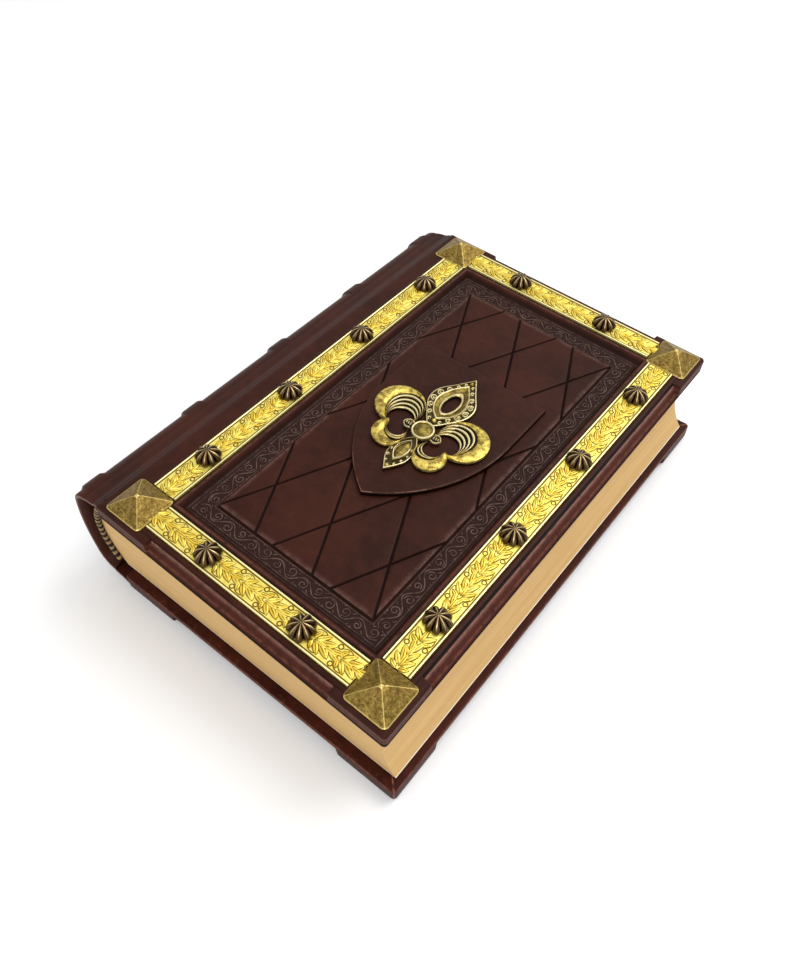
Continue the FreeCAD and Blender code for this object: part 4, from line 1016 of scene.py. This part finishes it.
def corner_paint():
    paint = Paint("corner_brass")
    x, y, z = paint.axes(paint.spot)
    mottle = paint.noise(paint.spot, 420.0, 5.0, 0.75)
    pits = paint.noise(paint.spot, 1300.0, 3.0, 0.7)
    arris = 1 - abs(abs(x) - abs(y)).step(0.0, 0.0006)
    foot = 1 - z.step(0.0005, 0.001)
    knob = z.step((CORNER_TALL - 0.7) * MM, (CORNER_TALL - 0.4) * MM)
    face = paint.mix(mottle.step(0.35, 0.65), tone(112, 90, 42), tone(172, 144, 76))
    face = paint.mix(pits.step(0.45, 0.6) * 0.6, face, tone(84, 66, 28))
    # Painted highlight on the ridges, the foot's rim and the knob
    painted_highlight = (arris * 0.55 + foot + knob).step(0.0, 1.0)
    colour = paint.mix(painted_highlight, face, tone(226, 200, 122))
    rough = 0.42 - painted_highlight * 0.14 + mottle * 0.1
    return paint.finish(colour, rough, pits * 0.6 + mottle * 0.4, 0.0003, metal=1.0)


def square_ring(half, round_off, height):
    """A square ring with rounded corners, counter-clockwise."""
    ring = []
    run = half - round_off
    for _ in range(4):
        ring += [(x * run, -half) for x in np.linspace(-1, 1, 9)[1:-1]]
        ring += [tuple(point) for point in arc((run, -run), round_off, -90, 0, 6)]
        ring = [(y, -x) for x, y in ring]
    return [(x, y, height) for x, y in ring]


def corner_mesh(material):
    """A rolled foot, four flat faces with rounded ridges, and a small square knob."""
    rings = [(9.9, 1.9, 0.0), (10.0, 2.0, 0.12), (10.0, 2.0, 0.5), (9.85, 1.9, 0.72)]
    rings += [(FACE_HALF, 1.7, FOOT_TALL)]
    for share in (0.06, 0.15, 0.3, 0.45, 0.6, 0.75, 0.86):
        half = FACE_HALF - (FACE_HALF - TIP_HALF) * share
        height = FOOT_TALL + (CORNER_TALL - FOOT_TALL) * share
        rings.append((half, max(0.12, 1.5 * (1 - share) ** 3), height))
    rings += [(1.05, 0.5, CORNER_TALL - 0.75), (0.8, 0.5, CORNER_TALL - 0.3), (0.4, 0.3, CORNER_TALL)]
    rows = [square_ring(*ring) for ring in rings]
    return Skin().rows(rows, around=True, low_end=True, high_end=True).build("corner_first", material, 35.0)


def share_out(first, places):
    """Set copies of one piece on the front cover, one for each node of the frame."""
    for name, x, y, z in places:
        on_front(placed(name + "_cast", first.data), name, (x, y, z))
    bpy.data.objects.remove(first)


corners = []
for end, end_sign in (("tail", -1), ("head", 1)):
    for side, corner_x in (("spine", CORNER_X[0]), ("fore", CORNER_X[1])):
        corners.append(("corner_%s_%s" % (end, side), corner_x, end_sign * CORNER_Y, FACE))
share_out(corner_mesh(corner_paint()), corners)


# The ribbed studs
#
# Twelve cast nails with melon-shaped heads, dark bronze in the furrows, with painted highlights on the ribs.
# They hold the strips, and each is one copy of the same casting.

STUD_RADIUS = 6.0
STUD_TALL = 5.2
STUD_RIBS = 9


def stud_paint():
    paint = Paint("stud_brass")
    x, y, z = paint.axes(paint.spot)
    angle = x.maths("ARCTAN2", y, x)
    rib = abs((angle * (STUD_RIBS / 2)).sine())
    mottle = paint.noise(paint.spot, 500.0, 4.0, 0.6)
    dark = paint.mix(mottle.step(0.3, 0.7), tone(56, 40, 23), tone(104, 78, 44))
    dark = paint.mix(1 - rib.step(0.2, 0.7), dark, tone(22, 14, 9))
    # Painted highlight along each rib's crest, fading towards the foot
    crest = rib.step(0.94, 1.0) * z.step(0.0014, 0.0046)
    colour = paint.mix(crest, dark, tone(214, 190, 140))
    return paint.finish(colour, 0.32 + mottle * 0.15, mottle, 0.0001, metal=0.9)


def stud_mesh(material):
    """A low dome, drawn in at its foot and furrowed between its ribs."""
    angles = np.linspace(0, 2 * math.pi, STUD_RIBS * 12, endpoint=False)
    lobes = np.abs(np.sin(angles * STUD_RIBS / 2)) ** 0.75
    rows = []
    for rise in (0.0, 0.03, 0.1, 0.2, 0.32, 0.45, 0.58, 0.7, 0.81, 0.9, 0.96, 0.99):
        out = STUD_RADIUS * (1 - rise ** 2.1) ** 0.5 * (0.93 + 0.07 * min(1.0, rise / 0.1))
        furrow = 0.25 * min(1.0, out / 2.0)
        flat = circled((0.0, 0.0), out * (1 - furrow + furrow * lobes), angles)
        rows.append(np.column_stack([flat, rise * STUD_TALL * (1 - 0.08 * furrow * (1 - lobes))]))
    return Skin().rows(rows, around=True, low_end=True, high_end=True).build("stud_first", material, 70.0)


STUD_BASE = FACE + STRIP_THICK
studs = []
for number, seat in enumerate(LONG_SEATS):
    for side, sign in (("spine", -1), ("fore", 1)):
        place = (FRAME_MIDDLE + sign * STRIP_REACH, seat, STUD_BASE)
        studs.append(("stud_%s_%d" % (side, number + 1), *place))
for number, seat in enumerate(SHORT_SEATS):
    for side, sign in (("tail", -1), ("head", 1)):
        place = (SHORT_MIDDLE + seat, sign * STRIP_END_REACH, STUD_BASE)
        studs.append(("stud_%s_%d" % (side, number + 1), *place))
share_out(stud_mesh(stud_paint()), studs)


# The shield
#
# A card cut to a heater shield and covered with the same leather, glued over the diamonds. Its
# upper edge is rounded and takes the light, with a painted highlight along it that is strongest
# towards the near right, and its sides are painted dark as shade.

SHIELD_BASE = 59.4
SHIELD_TOP = 61.7
SHIELD_HALF = 34.3
SHIELD_UP = 42.3
SHIELD_TIP = -47.8
SHIELD_BEND = 12.0
SHIELD_SECTION = ((0.0, 0.0), (0.0, 1.3), (0.05, 1.62), (0.18, 1.9), (0.4, 2.12), (0.7, 2.24), (1.1, 2.3),
                  (2.5, 2.3), (6.0, 2.3), (14.0, 2.3))


def shield_outline(inset):
    """The shield's outline, moved in by inset, from its upper right corner down and round."""
    half = SHIELD_HALF - inset
    top = SHIELD_UP - inset
    drop = SHIELD_BEND - SHIELD_TIP - inset * 1.25
    radius = (half * half + drop * drop) / (2 * half)
    angles = -np.linspace(0, math.asin(drop / radius), 40)
    right = [(half, y) for y in np.linspace(top, SHIELD_BEND, 12)[:-1]]
    right += [tuple(point) for point in circled((half - radius, SHIELD_BEND), radius, angles)]
    left = [(-x, y) for x, y in right[-2::-1]]
    return right + left + [(x, top) for x in np.linspace(-half, half, 20)[1:-1]]


def shield_paint():
    paint = Leather("shield_leather_paint", 0.05)
    x, y, z = paint.axes(paint.spot)
    high = z - SHIELD_TOP * MM
    near = (x - y - 0.03).step(-0.02, 0.02)
    edge = high.band(-0.0004, -0.0002, -0.0002, -0.00005)
    wear_and_sheen = paint.noise(paint.spot, 160.0, 3.0, 0.6)
    # A painted highlight along the rounded upper edge, strongest towards the near right and broken up by
    # noise
    paint.lay_tone(edge * (0.15 + near * wear_and_sheen.step(0.4, 0.6) * 0.7), 134, 100, 88)
    # Painted shade down the shield's sides
    paint.lay_tone(1 - high.step(-0.0009, -0.0005), 10, 5, 4)
    return paint.done()


rows = []
for inset, high in SHIELD_SECTION:
    rows.append([(x + FRAME_MIDDLE, y, SHIELD_BASE + high) for x, y in shield_outline(inset)])
skin = Skin().rows(rows, around=True, low_end=True, high_end=True)
on_front(skin.build("shield_skin", shield_paint(), 50.0), "shield_leather")
dress("shield_core", board)


# The fleur-de-lis
#
# One casting in antique brass: a round boss, four curled lobes with ribs along their inner side,
# and two petals with a filigree border. The high places carry a painted cream highlight and the recesses are
# black.

LILY_Y = -5.5


def lily_paint():
    """Brass whose tone follows each point: -1 cream painted highlight, 0 mottled gold, 0.5 olive, 1 black
    recesses.
    """
    paint = Paint("cast_brass")
    mottle = paint.noise(paint.spot, 330.0, 5.0, 0.7)
    fine = paint.noise(paint.spot, 1400.0, 3.0, 0.6)
    tint = paint.node("ShaderNodeAttribute", {"attribute_name": "tint"}, {}, "Fac")
    gold = paint.mix(mottle.step(0.38, 0.62), tone(128, 106, 44), tone(234, 208, 104))
    gold = paint.mix(fine.step(0.5, 0.72) * 0.3, gold, tone(110, 86, 36))
    olive = paint.mix(mottle.step(0.35, 0.7), tone(74, 62, 24), tone(128, 110, 50))
    colour = paint.mix(tint.step(0.05, 0.5), gold, olive)
    colour = paint.mix(tint.step(0.55, 0.95), colour, tone(26, 20, 12))
    # A tint below 0 paints a cream highlight on rims and ridges
    colour = paint.mix((0 - tint).step(0.1, 0.9), colour, tone(214, 200, 152))
    return paint.finish(colour, 0.3 + mottle * 0.16, mottle + fine * 0.4, 0.00015, metal=0.85)


class Casting(Skin):
    """A skin that also holds a tint for each point."""

    def __init__(self):
        super().__init__()
        self.tints = []

    def relief(self, outer, inner, section, sign):
        """A band between two rows of points. The section gives its top at each share of its length."""
        columns = []
        for number, (a, b) in enumerate(zip(outer, inner)):
            column = []
            for share, high, tint in section(number / (len(outer) - 1)):
                column.append((sign * (a[0] + (b[0] - a[0]) * share), a[1] + (b[1] - a[1]) * share, high))
                self.tints.append(tint)
            columns.append(column)
        self.rows(columns)

    def plain(self, tint):
        """Note one tint for all points added since the last note."""
        self.tints += [tint] * (self.count - len(self.tints))

    def line(self, flat, base, half, high, taper):
        """A raised line on the casting, painted cream as a highlight."""
        ridge(self, raised(flat, base), half, high, taper=taper)
        self.plain(-1.0)

    def dome(self, y, base, section):
        """A round piece on its own axis, from its foot to its top, with a tint for each ring."""
        angles = np.linspace(0, 2 * math.pi, 40, endpoint=False)
        self.rows([raised(circled((0, y), out, angles), base + high) for out, high, tint in section],
                  around=True, high_end=True)
        self.tints += [tint for out, high, tint in section for _ in angles]


def lobe(crescents, ribs):
    """The section of a lobe: a rounded gold crescent that widens to the tip, then ribs with painted cream
    highlights.
    """
    def section(share):
        crescent = np.interp(share, *zip(*crescents))
        rows = [(0.0, 0.0, 1.0), (0.0, 0.9, 0.8), (0.01, 1.3, -0.6)]
        for part in np.linspace(0.02, 1.0, 10):
            bulge = math.sin(math.pi * (0.14 + 0.74 * part)) ** 0.8
            rows.append((crescent * part, 1.3 + 1.9 * bulge * (0.6 + 0.4 * share), 0.0))
        width = (0.98 - crescent) / ribs
        for number in range(ribs):
            start = crescent + number * width
            crest = 2.5 - 0.25 * number
            rows += [(start + width * 0.06, crest - 1.0, 1.0), (start + width * 0.5, crest - 1.0, 1.0)]
            rows += [(start + width * 0.6, crest - 0.1, -0.6), (start + width * 0.78, crest, -1.0)]
            rows += [(start + width * 0.98, crest - 0.15, -0.8)]
        return rows + [(0.99, 1.2, 0.7), (1.0, 0.8, 1.0), (1.0, 0.0, 1.0)]
    return section


def even(*rows):
    """A section that is the same all along."""
    return lambda share: rows


# The filigree scrolls of one petal: place, radius and turns
FILIGREE = ((1.8, 35.6, 0.9, 1.0), (3.7, 32.4, 1.1, 1.2), (6.1, 28.6, 1.5, 1.4), (8.3, 24.6, 1.8, 1.5),
            (8.8, 20.0, 1.8, 1.5), (7.4, 15.7, 1.7, 1.5), (5.0, 11.9, 1.4, 1.3), (2.7, 8.5, 1.0, 1.0),
            (2.2, -23.0, 0.7, 1.0), (3.6, -19.8, 0.75, 1.1), (4.2, -16.2, 0.6, 1.0), (3.7, -12.2, 0.6, 1.0))
HORN = ((5.4, -2.2), (8.0, -2.7), (10.0, -0.6), (8.0, 1.7), (5.4, 1.2))


def lily(material):
    """The whole casting: lobes and petals on both sides, then scrolls, bars, horns, beads and boss."""
    cast = Casting()
    upper = lobe(((0, 0.08), (0.2, 0.1), (0.4, 0.24), (0.55, 0.4), (0.75, 0.68), (1, 0.94)), 4)
    lower = lobe(((0, 0.2), (0.25, 0.35), (0.5, 0.68), (0.75, 0.85), (1, 0.94)), 2)
    petal = curve([(0, 41.2), (5.2, 33.4), (10.3, 26.2), (11.2, 20.6), (9.4, 15.2), (3.6, 7.0), (0, 3)], 60)
    oval = curve([(0, 34.6), (4.0, 29.2), (6.3, 24), (6.8, 20.5), (6.1, 16.8), (3.9, 13), (0, 9.9)], 60)
    angles = np.linspace(math.pi / 2, -math.pi / 2, 60)
    opening = np.column_stack([3.1 * np.cos(angles), 21 + 6.4 * np.sin(angles)])
    border = even((0, 0, 1), (0, 1.3, 0.6), (0.03, 1.9, -1), (0.13, 2.0, -1), (0.16, 1.3, 0.8),
                  (0.84, 1.3, 0.8), (0.87, 2.4, -0.8), (0.93, 2.7, -1), (1, 2.6, -0.8))
    slope = even((0, 2.6, -0.8), (0.1, 2.3, 0.4), (0.3, 1.9, 0.4), (0.62, 1.6, 0.6), (0.7, 2.0, -0.8),
                 (0.8, 2.2, -1), (0.93, 1.9, -0.6), (1, 1.2, 0.8), (1, 0, 1))
    foot = curve([(0, -27.9), (4.2, -21.6), (5.4, -17), (4.8, -12.4), (3.0, -8), (0, -4)], 50)
    almond = curve([(0, -20.6), (2.3, -17.6), (3.1, -14.5), (2.3, -11.4), (0, -8.4)], 50)
    middle = np.column_stack([np.zeros(50), np.linspace(-19.6, -9.4, 50)])
    inside = even((0, 2.2, -1), (0.14, 2.4, -1), (0.24, 1.7, 0.7), (0.5, 2.0, 0.4), (1, 2.3, 0.4))
    for sign in (1, -1):
        for outer, inner, section in (
            (arc((17.8, 6.2), 11.7, 205, -95, 90), arc((12.5, -0.4), 6.3, 190, -45, 90), upper),
            (arc((11.3, -10.2), 7.8, -215, 50, 70), arc((9.9, -5.6), 4.7, -205, 0, 70), lower),
            (petal, oval, border), (oval, opening, slope), (foot, almond, border), (almond, middle, inside),
        ):
            cast.relief(outer, inner, section, sign)
    for side in (-1, 1):
        for x, y, radius, turns in FILIGREE:
            flat = spiral((side * x, y), side * math.pi / 3, side * turns, radius, 18)
            cast.line(flat, 1.3, 0.34, 0.75, 0.5)
        for x in (6.5, 7.6, 8.7):
            flat = np.column_stack([np.full(5, side * x), np.linspace(-2.0, 1.0, 5) * (1.2 - 0.08 * x)])
            cast.line(flat, 1.9, 0.33, 0.9, 0.6)
        flat = curve([(side * x, y) for x, y in HORN], 20)
        cast.line(flat, 1.6, 0.35, 0.9, 0.4)
        cast.rows([raised(flat, 1.75), [(side * 6.0, -0.5, 1.75)] * 20])
        cast.plain(1.0)
    ball = [(math.cos(a), math.sin(a)) for a in np.linspace(0, math.pi / 2 * 0.95, 7)]
    for y, radius in ((37.4, 1.0), (8.0, 1.2), (-25.0, 1.0)):
        cast.dome(y, 1.3, [(radius * out, 1.5 * high, 0.0) for out, high in ball])
    cast.dome(0, 0.0, ((5.35, 0, 1), (5.35, 2.3, -0.6), (5.2, 2.8, -1), (4.8, 3.0, -1), (4.4, 2.8, -0.8),
                       (4.2, 2.4, 0.9), (3.9, 2.45, 0.45), (3.0, 2.75, 0.4), (1.5, 2.95, 0.35),
                       (0.5, 3.0, 0.35)))
    form = bpy.data.meshes.new("fleur_cast")
    points = np.concatenate(cast.points) + (FRAME_MIDDLE, LILY_Y, SHIELD_TOP)
    form.from_pydata((points * MM).tolist(), [], cast.faces)
    form.attributes.new("tint", "FLOAT", "POINT").data.foreach_set("value", np.array(cast.tints, np.float32))
    form.materials.append(material)
    form.shade_smooth()
    form.set_sharp_from_angle(angle=math.radians(60))
    on_front(placed("fleur_cast", form), "fleur_de_lis")


lily(lily_paint())


# The table
#
# A plain white surface under the book, so large that its edge is out of sight. It belongs to the
# photograph's setting and is no part of the book.

table = bpy.data.meshes.new("table")
table.from_pydata([(-20, -20, 0), (20, -20, 0), (20, 20, 0), (-20, 20, 0)], [], [(0, 1, 2, 3)])
table.materials.append(Paint("table_white").finish((0.93, 0.93, 0.93, 1.0), 0.9))
placed("table", table)


# The light
#
# One broad soft lamp stands over the book on its head and fore-edge side, so that soft shadows
# fall towards tail and spine. A weaker one fills in from behind the camera, and the room is an
# even pale grey.

AIM = Vector((0, 0, 0.03))


def lamp(name, place, size, power):
    """A round soft lamp that is turned to the book."""
    data = bpy.data.lights.new(name, "AREA")
    data.shape = "DISK"
    data.size = size
    data.energy = power
    holder = placed(name, data)
    holder.location = place
    holder.rotation_euler = (AIM - Vector(place)).to_track_quat("-Z", "Y").to_euler()


lamp("over", (0.3, 0.62, 1.1), 0.9, 7.5)
lamp("fill", (0.5, -0.75, 0.7), 0.4, 3.0)
room = bpy.data.worlds.new("room")
bpy.context.scene.world = room
room.use_nodes = True
sky = room.node_tree.nodes["Background"]
sky.inputs["Color"].default_value = (1.0, 1.0, 1.0, 1.0)
sky.inputs["Strength"].default_value = 0.85


# The camera
#
# It looks down on the front cover from beyond the corner of tail and fore-edge. Its place, turn
# and lens were fitted to the corners and fittings in the photograph.

bpy.context.scene.render.resolution_x = 794
bpy.context.scene.render.resolution_y = 959
bpy.context.scene.view_settings.view_transform = "Standard"
eye = bpy.data.cameras.new("eye")
eye.sensor_width = 36.0
eye.lens = 31.90
eye.shift_y = -0.0202
viewer = placed("eye", eye)
viewer.location = (0.167265, -0.211518, 0.332246)
viewer.rotation_euler = [math.radians(angle) for angle in (41.42538, 0.63329, 38.89831)]
bpy.context.scene.camera = viewer
